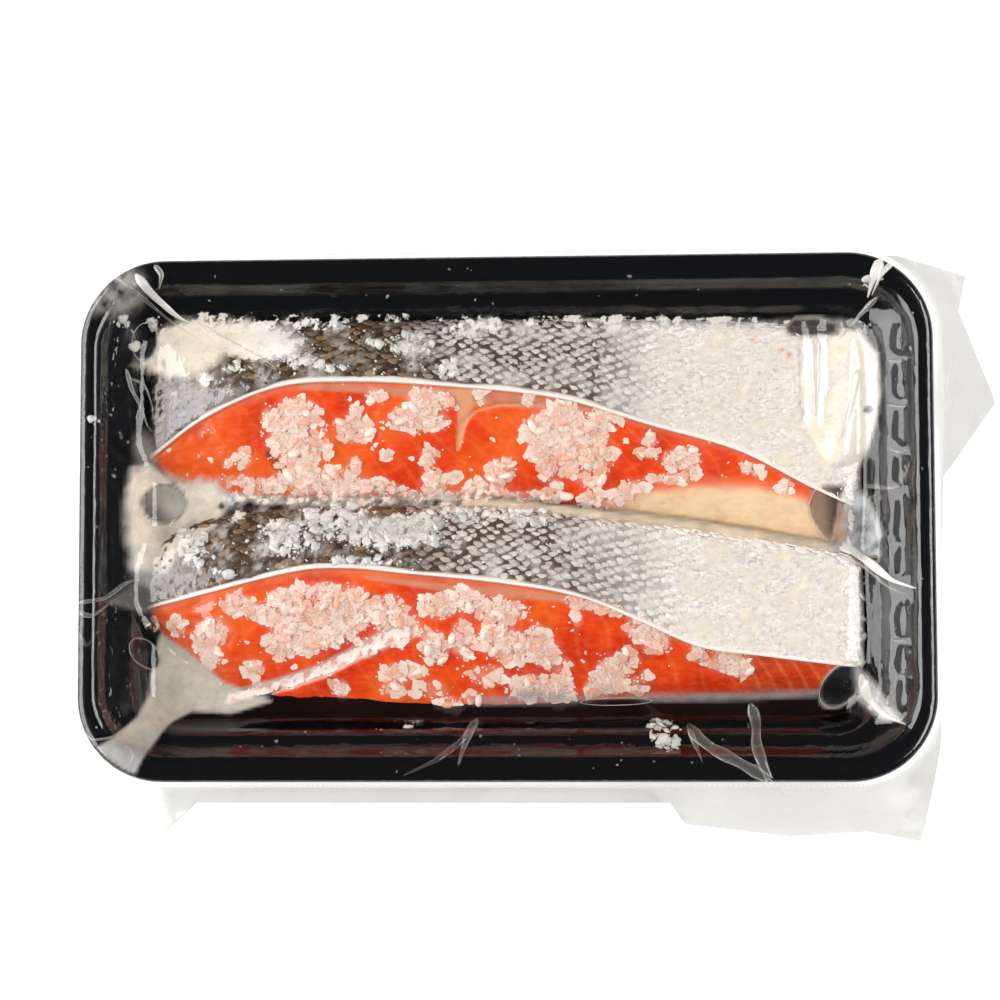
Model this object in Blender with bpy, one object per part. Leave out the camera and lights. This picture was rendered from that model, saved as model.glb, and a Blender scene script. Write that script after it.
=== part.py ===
"""Pack of salted salmon fillets: two slices cured in rice koji, on a moulded tray in a clear vacuum pouch.

Lengths are in millimetres until a mesh is made. X runs along the slices, Y from the front slice to the
back one, and Z up from the middle of the pouch's flat underside.
"""

import math
import random

import bpy
from mathutils import Euler, Vector
from mathutils.bvhtree import BVHTree
from mathutils.geometry import delaunay_2d_cdt

MM = 0.001

# Tray, measured over its rim.
TRAY_LENGTH = 210.0
TRAY_WIDTH = 129.0
TRAY_CORNER = 21.0
TRAY_WALL = 0.8
FILM_WALL = 0.4
GAP = 0.3

# Slices: height of their undersides, the skin's thickness, and how the ends lean in below a height.
SLICE_BASE = 3.2
SKIN = 1.2
END_LEAN = 0.2
END_TOP = 11.0

# Brine: height of the pool at the middle, and how much it falls for each millimetre of X.
BRINE_BASE = 1.8
BRINE_LEVEL = 7.2
BRINE_FALL = 0.012

# Koji grains: length, width and thickness.
GRAIN = (5.2, 3.8, 2.6)

# Pouch: how far its film stands off what it covers, and the level of its sealed margins.
FILM_GAP = 0.5
SEAL_LEVEL = 20.5


def material(name, color, roughness):
    made = bpy.data.materials.new(name)
    made.use_nodes = True
    shader = made.node_tree.nodes["Principled BSDF"]
    shader.inputs["Base Color"].default_value = (*color, 1.0)
    shader.inputs["Roughness"].default_value = roughness
    shader.inputs["Metallic"].default_value = 0.0
    return made


def solid(name, points, faces, finish):
    """An object from points in millimetres and faces that wind outward."""
    mesh = bpy.data.meshes.new(name)
    mesh.from_pydata([(x * MM, y * MM, z * MM) for x, y, z in points], [], faces)
    mesh.validate()
    mesh.materials.append(finish)
    for face in mesh.polygons:
        face.use_smooth = True
    made = bpy.data.objects.new(name, mesh)
    bpy.context.scene.collection.objects.link(made)
    return made


def through(points):
    """A smooth curve through a few (x, value) points, level past both ends."""
    slopes = []
    for i in range(len(points)):
        x0, v0 = points[max(i - 1, 0)]
        x1, v1 = points[min(i + 1, len(points) - 1)]
        slopes.append((v1 - v0) / (x1 - x0))

    def value(x):
        if x <= points[0][0]:
            return points[0][1]
        for i in range(len(points) - 1):
            x0, v0 = points[i]
            x1, v1 = points[i + 1]
            if x <= x1:
                step = x1 - x0
                t = (x - x0) / step
                start = v0 * (1 + 2 * t) + slopes[i] * step * t
                end = v1 * (3 - 2 * t) - slopes[i + 1] * step * (1 - t)
                return start * (1 - t) ** 2 + end * t * t
        return points[-1][1]

    return value


def reach(inset, angle):
    """Distance along a ray from the middle to the tray's rounded outline, moved in by inset."""
    half_x = TRAY_LENGTH / 2 - inset
    half_y = TRAY_WIDTH / 2 - inset
    radius = TRAY_CORNER - 0.75 * inset
    c = abs(math.cos(angle))
    s = abs(math.sin(angle))
    corner_x = half_x - radius
    corner_y = half_y - radius
    if half_x * s <= corner_y * c:
        return half_x / c
    if half_y * c <= corner_x * s:
        return half_y / s
    along = corner_x * c + corner_y * s
    return along + math.sqrt(along**2 - corner_x**2 - corner_y**2 + radius**2)


def ray_angles():
    """Directions from the middle that gather at the tray's four corners."""
    quarter = [0.0] + [21.5 + 2.1 * i for i in range(9)] + [60.0]
    mirrored = quarter + [180.0 - a for a in reversed(quarter[1:])]
    mirrored.insert(len(quarter), 90.0)
    whole = mirrored + [180.0 + a for a in mirrored]
    return [math.radians(a) for a in whole]


RAYS = ray_angles()


def ring(inset, z):
    found = []
    for angle in RAYS:
        r = reach(inset, angle)
        found.append((r * math.cos(angle), r * math.sin(angle), z))
    return found


def moved_out(profile, thickness):
    """A profile of (inset, z) moved by thickness to its lower, outer side."""
    found = []
    for i, (inset, z) in enumerate(profile):
        normals = []
        for a, b in ((i - 1, i), (i, i + 1)):
            if a < 0:
                normals.append((0.0, -1.0))
            elif b < len(profile):
                run = profile[a][0] - profile[b][0]
                rise = profile[b][1] - profile[a][1]
                length = math.hypot(run, rise)
                normals.append((rise / length, -run / length))
        if len(normals) == 1:
            normals.append(normals[0])
        (u0, w0), (u1, w1) = normals
        scale = thickness / (1.0 + u0 * u1 + w0 * w1)
        found.append((inset - (u0 + u1) * scale, z + (w0 + w1) * scale))
    return found


def bowl(name, profile, thickness, finish):
    """A shell whose upper side is a profile of rounded rings, closed by a flat floor."""
    rings = [ring(*p) for p in profile] + [ring(*p) for p in reversed(moved_out(profile, thickness))]
    count = len(RAYS)
    faces = [tuple(range(count))]
    for k in range(len(rings) - 1):
        for i in range(count):
            j = (i + 1) % count
            faces.append((k * count + i, (k + 1) * count + i, (k + 1) * count + j, k * count + j))
    faces.append(tuple(reversed(range((len(rings) - 1) * count, len(rings) * count))))
    return solid(name, [p for r in rings for p in r], faces, finish)


def section(spec, x):
    """Outline of a slice's flesh across X: front foot, cut face, ridge, skin side, back foot."""
    front = (spec["front_y"](x), spec["front_z"](x))
    ridge = (spec["ridge_y"](x), spec["ridge_z"](x))
    back = (spec["back_y"](x) - SKIN - GAP, spec["back_z"](x))
    start, end = spec["ends"]
    near = min(1.0, min(x - start, end - x) / spec["round"])
    full = math.sqrt(max(0.0, 1.0 - (1.0 - near) ** 2))
    points = [(front[0] + 2.0, SLICE_BASE), (front[0] + 0.2, SLICE_BASE + 1.2)]
    points.append((front[0], SLICE_BASE + 0.6 * (front[1] - SLICE_BASE)))
    points.append((front[0] + 1.2, front[1]))
    for t, bulge in ((0.22, 0.9), (0.48, 1.2), (0.76, 0.8)):
        y = front[0] + 1.2 + (ridge[0] - front[0] - 1.2) * t
        points.append((y, front[1] + (ridge[1] - front[1]) * t + bulge))
    points.append(ridge)
    for t, bulge in ((0.3, 0.9), (0.65, 1.0)):
        y = ridge[0] + (back[0] - 1.0 - ridge[0]) * t
        points.append((y, ridge[1] + (back[1] - ridge[1]) * t + bulge))
    points.append((back[0] - 0.3, back[1]))
    points.append((back[0] - 0.7, SLICE_BASE + 0.62 * (back[1] - SLICE_BASE)))
    points.append((back[0] - 1.5, SLICE_BASE + 0.25 * (back[1] - SLICE_BASE)))
    points.append((back[0] - 3.4, SLICE_BASE))
    middle = (front[0] + back[0]) / 2
    wide = 0.9 + 0.1 * full
    tall = 0.55 + 0.45 * full
    return [(middle + (y - middle) * wide, SLICE_BASE + (z - SLICE_BASE) * tall) for y, z in points]


RIDGE = 7
SKIN_END = 12


def grown(outline, amount, closed):
    """An outline in the YZ plane moved to its left side, which is outward for a slice's section."""
    found = []
    count = len(outline)
    for i in range(count):
        before = outline[i - 1] if closed or i else None
        after = outline[(i + 1) % count] if closed or i < count - 1 else None
        normals = []
        for a, b in ((before, outline[i]), (outline[i], after)):
            if a is not None and b is not None:
                length = math.hypot(b[0] - a[0], b[1] - a[1])
                normals.append(((a[1] - b[1]) / length, (b[0] - a[0]) / length))
        if len(normals) == 1:
            normals.append(normals[0])
        (u0, w0), (u1, w1) = normals
        scale = amount / max(1.0 + u0 * u1 + w0 * w1, 0.7)
        found.append((outline[i][0] + (u0 + u1) * scale, outline[i][1] + (w0 + w1) * scale))
    return found


def flesh_loop(spec, x):
    return section(spec, x)


def skin_loop(spec, x):
    """The skin's section: from its cut edge at the ridge, over the back and down to its lower edge."""
    under = section(spec, x)[RIDGE : SKIN_END + 1]
    outer = grown(under, GAP + SKIN, False)
    inner = grown(under, GAP, False)
    return outer + list(reversed(inner))


def room_loop(spec, x):
    """The room that a slice and its skin take up, with a gap round them."""
    whole = section(spec, x)
    outer = grown(whole[RIDGE : SKIN_END + 1], GAP + SKIN, False)
    return grown(whole[:RIDGE] + outer + whole[SKIN_END + 1 :], GAP, True)


def loft(name, spec, loop, finish, longer=0.0):
    """A solid through one closed section at each station along X, its quads split the same way by Y."""
    start, end = spec["ends"]
    stations = [start, start + 0.06 * spec["round"], start + 0.3 * spec["round"]]
    inner = spec["stations"]
    first = start + spec["round"]
    last = end - spec["round"]
    stations += [first + (last - first) * i / (inner - 1) for i in range(inner)]
    stations += [end - 0.3 * spec["round"], end - 0.06 * spec["round"], end]
    points = []
    for x in stations:
        side = 1.0 if x < 0.0 else -1.0
        near = min(1.0, min(x - start, end - x) / spec["round"])
        place = x - side * longer if x in (start, end) else x
        lean = side * END_LEAN * (1.0 - near)
        points += [(place + lean * (END_TOP - z), y, z) for y, z in loop(spec, x)]
    count = len(points) // len(stations)
    faces = [tuple(range(count))]
    for k in range(len(stations) - 1):
        for i in range(count):
            j = (i + 1) % count
            a, b, c, d = k * count + i, (k + 1) * count + i, (k + 1) * count + j, k * count + j
            if points[a][1] < points[d][1]:
                faces += [(a, b, d), (b, c, d)]
            else:
                faces += [(a, b, c), (a, c, d)]
    faces.append(tuple(reversed(range((len(stations) - 1) * count, len(stations) * count))))
    return solid(name, points, faces, finish)


def tree(objects):
    """What rays are cast against, in millimetres."""
    points = []
    faces = []
    deps = bpy.context.evaluated_depsgraph_get()
    for item in objects:
        mesh = item.evaluated_get(deps).to_mesh()
        base = len(points)
        points += [Vector(v.co) / MM for v in mesh.vertices]
        faces += [[base + i for i in face.vertices] for face in mesh.polygons]
        item.evaluated_get(deps).to_mesh_clear()
    return BVHTree.FromPolygons(points, faces), points, faces


def height(surface, x, y):
    hit = surface.ray_cast(Vector((x, y, 60.0)), Vector((0.0, 0.0, -1.0)))
    return hit[0]


def fuse_grains(target, clusters, lift, tilt, seed):
    """Koji grains in loose clusters, each flat on what it lies on, sunk a little and made one with it."""
    draw = random.Random(seed)
    surface = tree([target])[0]
    grains = bpy.data.collections.new(target.name + "_koji")
    bpy.context.scene.collection.children.link(grains)
    for x, y, spread_x, spread_y, count in clusters:
        for _ in range(count):
            across = x + draw.uniform(-spread_x, spread_x)
            along = y + draw.uniform(-spread_y, spread_y)
            spot, normal, _, _ = surface.ray_cast(Vector((across, along, 60.0)), Vector((0.0, 0.0, -1.0)))
            if spot is None:
                continue
            turn = Euler((draw.uniform(-tilt, tilt), draw.uniform(-tilt, tilt), draw.uniform(0.0, 6.3)))
            place = (spot + normal * lift) * MM
            bpy.ops.mesh.primitive_ico_sphere_add(subdivisions=1, radius=1.0, location=place)
            grain = bpy.context.object
            size = draw.uniform(0.85, 1.05)
            grain.scale = [0.5 * side * size * MM for side in GRAIN]
            grain.rotation_mode = "QUATERNION"
            grain.rotation_quaternion = normal.to_track_quat("Z", "Y") @ turn.to_quaternion()
            for other in list(grain.users_collection):
                other.objects.unlink(grain)
            grains.objects.link(grain)
    join = target.modifiers.new("koji", "BOOLEAN")
    join.operation = "UNION"
    join.operand_type = "COLLECTION"
    join.collection = grains
    join.solver = "EXACT"
    bpy.context.view_layer.objects.active = target
    bpy.ops.object.modifier_apply(modifier=join.name)
    for grain in list(grains.objects):
        bpy.data.objects.remove(grain)
    bpy.data.collections.remove(grains)


for old in list(bpy.data.objects):
    bpy.data.objects.remove(old)

tray_black = material("tray_black", (0.012, 0.014, 0.018), 0.16)
salmon_flesh = material("salmon_flesh", (0.78, 0.14, 0.03), 0.3)
salmon_skin = material("salmon_skin", (0.42, 0.38, 0.34), 0.35)
koji_brine = material("koji_brine", (0.72, 0.68, 0.6), 0.25)
clear_film = material("clear_film", (0.9, 0.91, 0.92), 0.12)

# ---- Tray: a thermoformed shell with a rolled rim, a step below it and a flat floor. ----

TRAY_PROFILE = [
    (17.8, 1.5),
    (15.9, 2.1),
    (15.0, 3.6),
    (13.2, 13.6),
    (12.3, 14.8),
    (9.2, 17.8),
    (8.5, 18.8),
    (7.9, 22.2),
    (7.1, 23.5),
    (5.8, 24.0),
    (1.9, 24.0),
    (0.7, 23.6),
    (0.1, 22.6),
    (0.0, 20.6),
]
tray = bowl("tray", TRAY_PROFILE, TRAY_WALL, tray_black)

# ---- Lower web of the pouch: it cups the tray from below and is what the pack rests on. ----

WEB_PROFILE = [
    (17.2, 0.4),
    (15.2, 1.0),
    (13.7, 3.3),
    (11.7, 13.0),
    (8.0, 16.2),
    (3.5, 18.4),
    (0.0, 19.7),
    (-0.8, 20.0),
]
base_film = bowl("base_film", WEB_PROFILE, FILM_WALL, clear_film)

# ---- Slices: each leans back, cut face to the front and skin to the back, with a ridge between. ----

BACK_SLICE = {
    "ends": (-90.3, 88.6),
    "round": 6.0,
    "stations": 13,
    "ridge_y": through(
        [(-90.3, 15.0), (-75.7, 25.0), (-56.5, 32.6), (-37.8, 33.8), (-13.0, 32.3), (14.1, 29.1)]
        + [(36.0, 22.7), (58.0, 16.4), (75.3, 7.7), (88.6, 1.6)]
    ),
    "ridge_z": through([(-90.3, 11.5), (-70.0, 17.0), (-45.0, 19.6), (15.0, 19.6), (50.0, 15.6), (88.6, 10.2)]),
    "back_y": through([(-90.3, 45.0), (-84.0, 48.7), (-70.0, 50.4), (40.0, 50.4), (88.6, 47.8)]),
    "back_z": through([(-90.3, 10.0), (-40.0, 10.9), (88.6, 10.4)]),
    "front_y": through(
        [(-90.3, 13.0), (-79.7, 7.6), (-67.1, 6.2), (-51.0, 5.3), (-1.3, 5.0), (23.5, 2.3), (48.1, -0.8)]
        + [(80.0, -6.3), (88.6, -8.9)]
    ),
    "front_z": through([(-90.3, 8.6), (-40.0, 8.6), (40.0, 8.4), (88.6, 8.0)]),
}
FRONT_SLICE = {
    "ends": (-90.4, 88.6),
    "round": 6.0,
    "stations": 13,
    "ridge_y": through(
        [(-90.4, -21.8), (-75.4, -18.5), (-50.1, -12.8), (-37.7, -12.4), (-25.3, -13.6), (-0.8, -16.2)]
        + [(18.7, -19.7), (33.3, -25.6), (47.9, -31.8), (62.5, -33.9), (88.6, -37.0)]
    ),
    "ridge_z": through([(-90.4, 12.2), (-70.0, 17.4), (-45.0, 19.6), (15.0, 19.6), (50.0, 16.2), (88.6, 11.4)]),
    "back_y": through(
        [(-90.4, -11.0), (-86.0, -4.5), (-76.4, 0.5), (-51.2, 3.9), (-1.3, 3.7), (23.5, 1.0), (48.1, -2.1)]
        + [(80.0, -7.5), (88.6, -10.2)]
    ),
    "back_z": through([(-90.4, 11.2), (-50.0, 12.2), (88.6, 11.0)]),
    "front_y": through(
        [(-90.4, -25.6), (-86.0, -31.0), (-79.6, -36.9), (-67.1, -44.6), (-39.4, -47.2), (-6.8, -48.2)]
        + [(23.1, -46.1), (47.9, -45.1), (88.6, -43.8)]
    ),
    "front_z": through([(-90.4, 7.6), (-40.0, 6.6), (40.0, 6.6), (88.6, 7.0)]),
}
back_flesh = loft("back_flesh", BACK_SLICE, flesh_loop, salmon_flesh)
back_skin = loft("back_skin", BACK_SLICE, skin_loop, salmon_skin)
front_flesh = loft("front_flesh", FRONT_SLICE, flesh_loop, salmon_flesh)
front_skin = loft("front_skin", FRONT_SLICE, skin_loop, salmon_skin)

# ---- Brine: a shallow milky pool in the tray, round and under the slices. ----

pool = ring(17.9, BRINE_BASE) + ring(15.4, 3.8)
pool += [(x, y, BRINE_LEVEL - BRINE_FALL * x) for x, y, _ in ring(15.0, 0.0)]
rays = len(RAYS)
pool_faces = [tuple(reversed(range(rays))), tuple(range(2 * rays, 3 * rays))]
for k in range(2):
    for i in range(rays):
        j = (i + 1) % rays
        pool_faces.append((k * rays + i, k * rays + j, (k + 1) * rays + j, (k + 1) * rays + i))
brine = solid("brine", pool, pool_faces, koji_brine)
for spec in (BACK_SLICE, FRONT_SLICE):
    room = loft("room", spec, room_loop, koji_brine, GAP)
    cut = brine.modifiers.new("slice_room", "BOOLEAN")
    cut.operation = "DIFFERENCE"
    cut.solver = "EXACT"
    cut.object = room
    bpy.context.view_layer.objects.active = brine
    bpy.ops.object.modifier_apply(modifier=cut.name)
    bpy.data.objects.remove(room)

# ---- Koji: rice grains that cling to the cut faces and to the skins. ----

fuse_grains(
    back_flesh,
    [
        (-49.0, 20.0, 6.0, 4.0, 6),
        (-37.0, 21.0, 3.0, 4.0, 3),
        (-20.0, 23.5, 5.0, 4.0, 4),
        (13.0, 18.5, 9.0, 6.0, 9),
        (34.0, 11.5, 6.0, 3.0, 3),
        (-30.0, 9.0, 26.0, 2.0, 6),
    ],
    0.0,
    0.4,
    11,
)
fuse_grains(
    front_flesh,
    [
        (-71.0, -29.0, 5.0, 4.0, 3),
        (-42.0, -24.5, 11.0, 6.0, 8),
        (-42.0, -35.0, 17.0, 3.0, 6),
        (-10.0, -30.0, 9.0, 8.0, 7),
        (11.0, -30.0, 7.0, 6.0, 4),
        (33.0, -38.0, 9.0, 3.0, 4),
    ],
    0.0,
    0.4,
    12,
)
fuse_grains(back_skin, [(-71.0, 42.0, 8.0, 3.0, 6), (-50.0, 43.5, 6.0, 2.0, 3), (-28.0, 41.5, 8.0, 3.0, 5)], 0.5, 0.1, 13)
fuse_grains(front_skin, [(-66.0, -8.5, 5.0, 3.0, 4), (-47.0, -4.5, 7.0, 3.0, 5), (-25.0, -5.0, 8.0, 3.0, 5)], 0.5, 0.1, 14)

# ---- Upper web of the pouch: drawn down over the rim and the slices, with its sealed margins. ----

MARGIN = [
    (-119.5, 69.0),
    (-120.3, -81.3),
    (-89.0, -80.6),
    (-85.5, -69.6),
    (-75.1, -69.6),
    (40.3, -69.6),
    (43.2, -69.6),
    (43.9, -75.1),
    (69.6, -78.2),
    (88.7, -77.1),
    (102.1, -79.6),
    (105.7, -55.7),
    (106.1, -20.6),
    (107.2, 9.2),
    (121.4, 28.7),
    (111.7, 50.3),
    (114.2, 59.8),
    (103.6, 62.1),
    (96.4, 63.7),
    (-93.2, 66.0),
]
HUG = -1.3


def margin_reach(angle):
    """Distance along a ray from the middle to the cut edge of the margins, never inside the rim."""
    c = math.cos(angle)
    s = math.sin(angle)
    best = reach(HUG, angle) + 0.05
    for i in range(len(MARGIN)):
        ax, ay = MARGIN[i]
        bx, by = MARGIN[(i + 1) % len(MARGIN)]
        ex = bx - ax
        ey = by - ay
        side = c * ey - s * ex
        if abs(side) < 1e-9:
            continue
        far = (ax * ey - ay * ex) / side
        share = (ax * s - ay * c) / side
        if far > 0.0 and -1e-6 <= share <= 1.0 + 1e-6:
            best = max(best, far)
    return best


def margin_level(x, y, out):
    """Height of the margins, out millimetres past the rim: they sag, most at the folded tails."""
    sag = 0.42
    if x > 36.0 and y < 0.0:
        sag = 0.9
    if x > 100.0:
        sag = 0.75
    if x < -84.0 and y < -60.0:
        sag = 0.7
    wave = 0.5 * math.sin(0.11 * x + 0.17 * y) * min(1.0, out / 6.0)
    return max(3.0, SEAL_LEVEL - sag * out + wave)


contents = [tray, back_flesh, back_skin, front_flesh, front_skin, brine]
cover, content_points, content_faces = tree(contents)
web_points = []
web_levels = []
web_edges = []
web_rays = sorted(RAYS + [math.atan2(y, x) % (2 * math.pi) for x, y in MARGIN])
kept_rays = [web_rays[0]]
for angle in web_rays[1:]:
    if angle - kept_rays[-1] > 0.012:
        kept_rays.append(angle)
RIM_FILM = [(-1.3, SEAL_LEVEL), (-0.4, 22.8), (1.2, 24.5), (6.4, 24.6), (8.9, 22.4), (12.9, 16.0), (14.1, 13.6)]
for inset, level in [(None, None)] + RIM_FILM:
    base = len(web_points)
    for angle in kept_rays:
        rim = reach(HUG, angle)
        r = margin_reach(angle) if inset is None else reach(inset, angle)
        x = r * math.cos(angle)
        y = r * math.sin(angle)
        web_points.append(Vector((x, y)))
        web_levels.append(margin_level(x, y, r - rim) if level is None else level)
    for i in range(len(kept_rays)):
        web_edges.append((base + i, base + (i + 1) % len(kept_rays)))
for angle in kept_rays:
    rim = reach(HUG, angle)
    out = margin_reach(angle) - rim
    if out > 7.0:
        r = rim + out * 0.5
        x = r * math.cos(angle)
        y = r * math.sin(angle)
        web_points.append(Vector((x, y)))
        web_levels.append(margin_level(x, y, out * 0.5))
fixed = len(web_points)
FILM_COLUMNS = 21
FILM_ROWS = 17
for i in range(FILM_COLUMNS):
    for j in range(FILM_ROWS):
        x = -86.4 + 172.8 * i / (FILM_COLUMNS - 1)
        y = -46.0 + 92.0 * j / (FILM_ROWS - 1)
        if math.hypot(x, y) > reach(16.2, math.atan2(y, x)):
            continue
        around = [(0, 0), (2.4, 0), (-2.4, 0), (0, 2.0), (0, -2.0)]
        found = [height(cover, x + dx, y + dy) for dx, dy in around]
        web_points.append(Vector((x, y)))
        web_levels.append(max(p.z for p in found) + FILM_GAP)

flat, _, triangles, sources, _, _ = delaunay_2d_cdt(web_points, web_edges, [], 1, 1e-5)
levels = [web_levels[source[0]] for source in sources]
held = [source[0] < fixed for source in sources]
samples = []
for face in content_faces:
    for i in range(len(face)):
        a = content_points[face[i - 1]]
        b = content_points[face[i]]
        steps = math.ceil((b - a).length / 1.5)
        samples += [a.lerp(b, k / steps) for k in range(steps)]
for _ in range(8):
    lid_points = [Vector((p.x, p.y, z)) for p, z in zip(flat, levels)]
    lid = BVHTree.FromPolygons(lid_points, triangles)
    raised = 0
    for p in samples:
        hit, _, index, _ = lid.ray_cast(Vector((p.x, p.y, -5.0)), Vector((0.0, 0.0, 1.0)))
        if hit is None or hit.z >= p.z + FILM_GAP - 0.1:
            continue
        for corner in triangles[index]:
            if not held[corner]:
                levels[corner] = max(levels[corner], lid_points[corner].z + p.z + FILM_GAP - hit.z)
                raised += 1
    if not raised:
        break
upward = []
for a, b, c in triangles:
    turn = (flat[b].x - flat[a].x) * (flat[c].y - flat[a].y) - (flat[b].y - flat[a].y) * (flat[c].x - flat[a].x)
    upward.append((a, b, c) if turn > 0 else (a, c, b))
top_film = solid("top_film", [(p.x, p.y, z) for p, z in zip(flat, levels)], upward, clear_film)
thick = top_film.modifiers.new("film", "SOLIDIFY")
thick.thickness = FILM_WALL * MM
thick.offset = 1.0
thick.use_even_offset = True
thick.use_quality_normals = True
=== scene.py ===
"""Looks of the pack of salted salmon fillets. Lengths are in millimetres until a mesh is made."""

import math
import random

import bpy
import numpy as np
from mathutils import Euler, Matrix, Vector, noise
from mathutils.bvhtree import BVHTree
from mathutils.geometry import delaunay_2d_cdt


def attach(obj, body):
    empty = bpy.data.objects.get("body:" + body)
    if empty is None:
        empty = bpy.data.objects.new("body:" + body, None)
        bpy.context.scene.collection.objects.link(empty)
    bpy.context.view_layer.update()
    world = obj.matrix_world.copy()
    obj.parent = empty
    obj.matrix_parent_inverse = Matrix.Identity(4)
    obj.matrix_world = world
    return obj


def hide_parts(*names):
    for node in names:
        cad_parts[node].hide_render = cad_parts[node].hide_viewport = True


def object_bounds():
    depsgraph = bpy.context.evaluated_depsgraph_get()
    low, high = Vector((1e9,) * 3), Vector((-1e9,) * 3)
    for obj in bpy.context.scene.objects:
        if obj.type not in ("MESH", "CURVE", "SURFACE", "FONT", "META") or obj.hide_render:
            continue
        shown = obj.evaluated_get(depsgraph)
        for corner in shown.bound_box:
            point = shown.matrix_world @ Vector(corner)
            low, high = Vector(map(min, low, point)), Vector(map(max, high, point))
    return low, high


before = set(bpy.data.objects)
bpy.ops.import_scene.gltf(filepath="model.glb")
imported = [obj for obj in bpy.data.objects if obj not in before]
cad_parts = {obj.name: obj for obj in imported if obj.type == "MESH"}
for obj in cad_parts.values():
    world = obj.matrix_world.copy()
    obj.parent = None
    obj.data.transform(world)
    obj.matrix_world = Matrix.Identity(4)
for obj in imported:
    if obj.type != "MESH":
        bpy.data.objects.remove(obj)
cad_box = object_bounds()
bpy.ops.object.select_all(action="DESELECT")

# ---- Studio: a pale floor, two large softboxes and the camera. The floor glows a little, as paper lit from
# ---- below does, so that nothing outlines the pouch's clear margins but their own film.

MM = 0.001


class Wire:
    """A value in a material, which takes plain arithmetic."""

    def __init__(self, paint, socket):
        self.paint = paint
        self.socket = socket

    def maths(self, operation, first, second):
        return self.paint.node("ShaderNodeMath", {"operation": operation}, {0: first, 1: second})

    def __add__(self, other):
        return self.maths("ADD", self, other)

    def __radd__(self, other):
        return self.maths("ADD", other, self)

    def __sub__(self, other):
        return self.maths("SUBTRACT", self, other)

    def __rsub__(self, other):
        return self.maths("SUBTRACT", other, self)

    def __mul__(self, other):
        return self.maths("MULTIPLY", self, other)

    def __rmul__(self, other):
        return self.maths("MULTIPLY", other, self)

    def __pow__(self, other):
        return self.maths("POWER", self, other)


class Paint:
    """A material and its nodes, each made by node(): type, settings, inputs."""

    def __init__(self, name):
        self.material = bpy.data.materials.new(name)
        self.material.use_nodes = True
        self.tree = self.material.node_tree
        self.tree.nodes.clear()

    def node(self, kind, settings=None, inputs=None, out=0):
        made = self.tree.nodes.new(kind)
        for key, value in (settings or {}).items():
            setattr(made, key, value)
        for key, value in (inputs or {}).items():
            if isinstance(value, Wire):
                self.tree.links.new(value.socket, made.inputs[key])
            else:
                made.inputs[key].default_value = value
        return Wire(self, made.outputs[out]) if len(made.outputs) else None

    def place(self):
        return self.node("ShaderNodeTexCoord", out="Object")

    def stretched(self, x, y, z):
        return self.node("ShaderNodeMapping", None, {"Vector": self.place(), "Scale": (x, y, z)})

    def noise(self, vector, scale, detail=3.0, rough=0.55):
        inputs = {"Vector": vector, "Scale": scale, "Detail": detail, "Roughness": rough}
        return self.node("ShaderNodeTexNoise", None, inputs)

    def ramp(self, value, low, high, start=0.0, end=1.0):
        inputs = {"Value": value, "From Min": low, "From Max": high, "To Min": start, "To Max": end}
        return self.node("ShaderNodeMapRange", {"interpolation_type": "SMOOTHSTEP"}, inputs)

    def blend(self, share, first, second, kind="MIX"):
        return self.node(
            "ShaderNodeMix",
            {"data_type": "RGBA", "blend_type": kind},
            {0: share, 6: first, 7: second},
            out=2,
        )

    def point_colour(self, name):
        return self.node("ShaderNodeAttribute", {"attribute_name": name}, out="Color")

    def point_value(self, name):
        return self.node("ShaderNodeAttribute", {"attribute_name": name}, out="Fac")

    def bump(self, value, strength, distance):
        inputs = {"Height": value, "Strength": strength, "Distance": distance}
        return self.node("ShaderNodeBump", None, inputs)

    def shader(self, **inputs):
        names = {key.replace("_", " ").title(): value for key, value in inputs.items()}
        names = {key.replace("Ior", "IOR"): value for key, value in names.items()}
        return self.node("ShaderNodeBsdfPrincipled", None, names)

    def done(self, surface):
        self.node("ShaderNodeOutputMaterial", None, {"Surface": surface})
        return self.material


def rgb(red, green, blue):
    """A colour from its display values, 0 to 255."""
    values = [v / 255 for v in (red, green, blue)]
    return tuple(v / 12.92 if v < 0.04 else ((v + 0.055) / 1.055) ** 2.4 for v in values)


def rgba(red, green, blue):
    return (*rgb(red, green, blue), 1.0)


paint = Paint("studio_floor")
grain = paint.noise(paint.place(), 3.0)
shade = paint.blend(grain, rgba(232, 232, 231), rgba(238, 238, 237))
floor_paint = paint.done(
    paint.shader(base_color=shade, roughness=0.9, emission_color=(1, 1, 1, 1), emission_strength=0.55)
)
bpy.ops.mesh.primitive_plane_add(size=12.0, location=(0.0, 0.0, -0.0002))
floor = bpy.context.object
floor.name = "studio_floor"
floor.data.materials.append(floor_paint)


def softbox(name, azimuth, elevation, distance, width, height, radiance):
    """A rectangular lamp that faces the pack. Azimuth is counted from +X towards +Y."""
    lamp = bpy.data.lights.new(name, "AREA")
    lamp.shape = "RECTANGLE"
    lamp.size = width
    lamp.size_y = height
    lamp.energy = radiance * math.pi * width * height
    holder = bpy.data.objects.new(name, lamp)
    bpy.context.scene.collection.objects.link(holder)
    a = math.radians(azimuth)
    e = math.radians(elevation)
    out = Vector((math.cos(e) * math.cos(a), math.cos(e) * math.sin(a), math.sin(e)))
    holder.location = out * distance
    holder.rotation_euler = out.to_track_quat("Z", "Y").to_euler()
    holder.visible_camera = False


softbox("softbox_left", azimuth=180.0, elevation=30.0, distance=1.0, width=1.15, height=0.86, radiance=5.7)
softbox("softbox_right", azimuth=0.0, elevation=42.0, distance=1.0, width=1.1, height=0.5, radiance=6.3)

world = bpy.data.worlds.new("studio")
bpy.context.scene.world = world
world.use_nodes = True
world.node_tree.nodes["Background"].inputs["Color"].default_value = (0.06, 0.061, 0.063, 1.0)
world.node_tree.nodes["Background"].inputs["Strength"].default_value = 1.0

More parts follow.
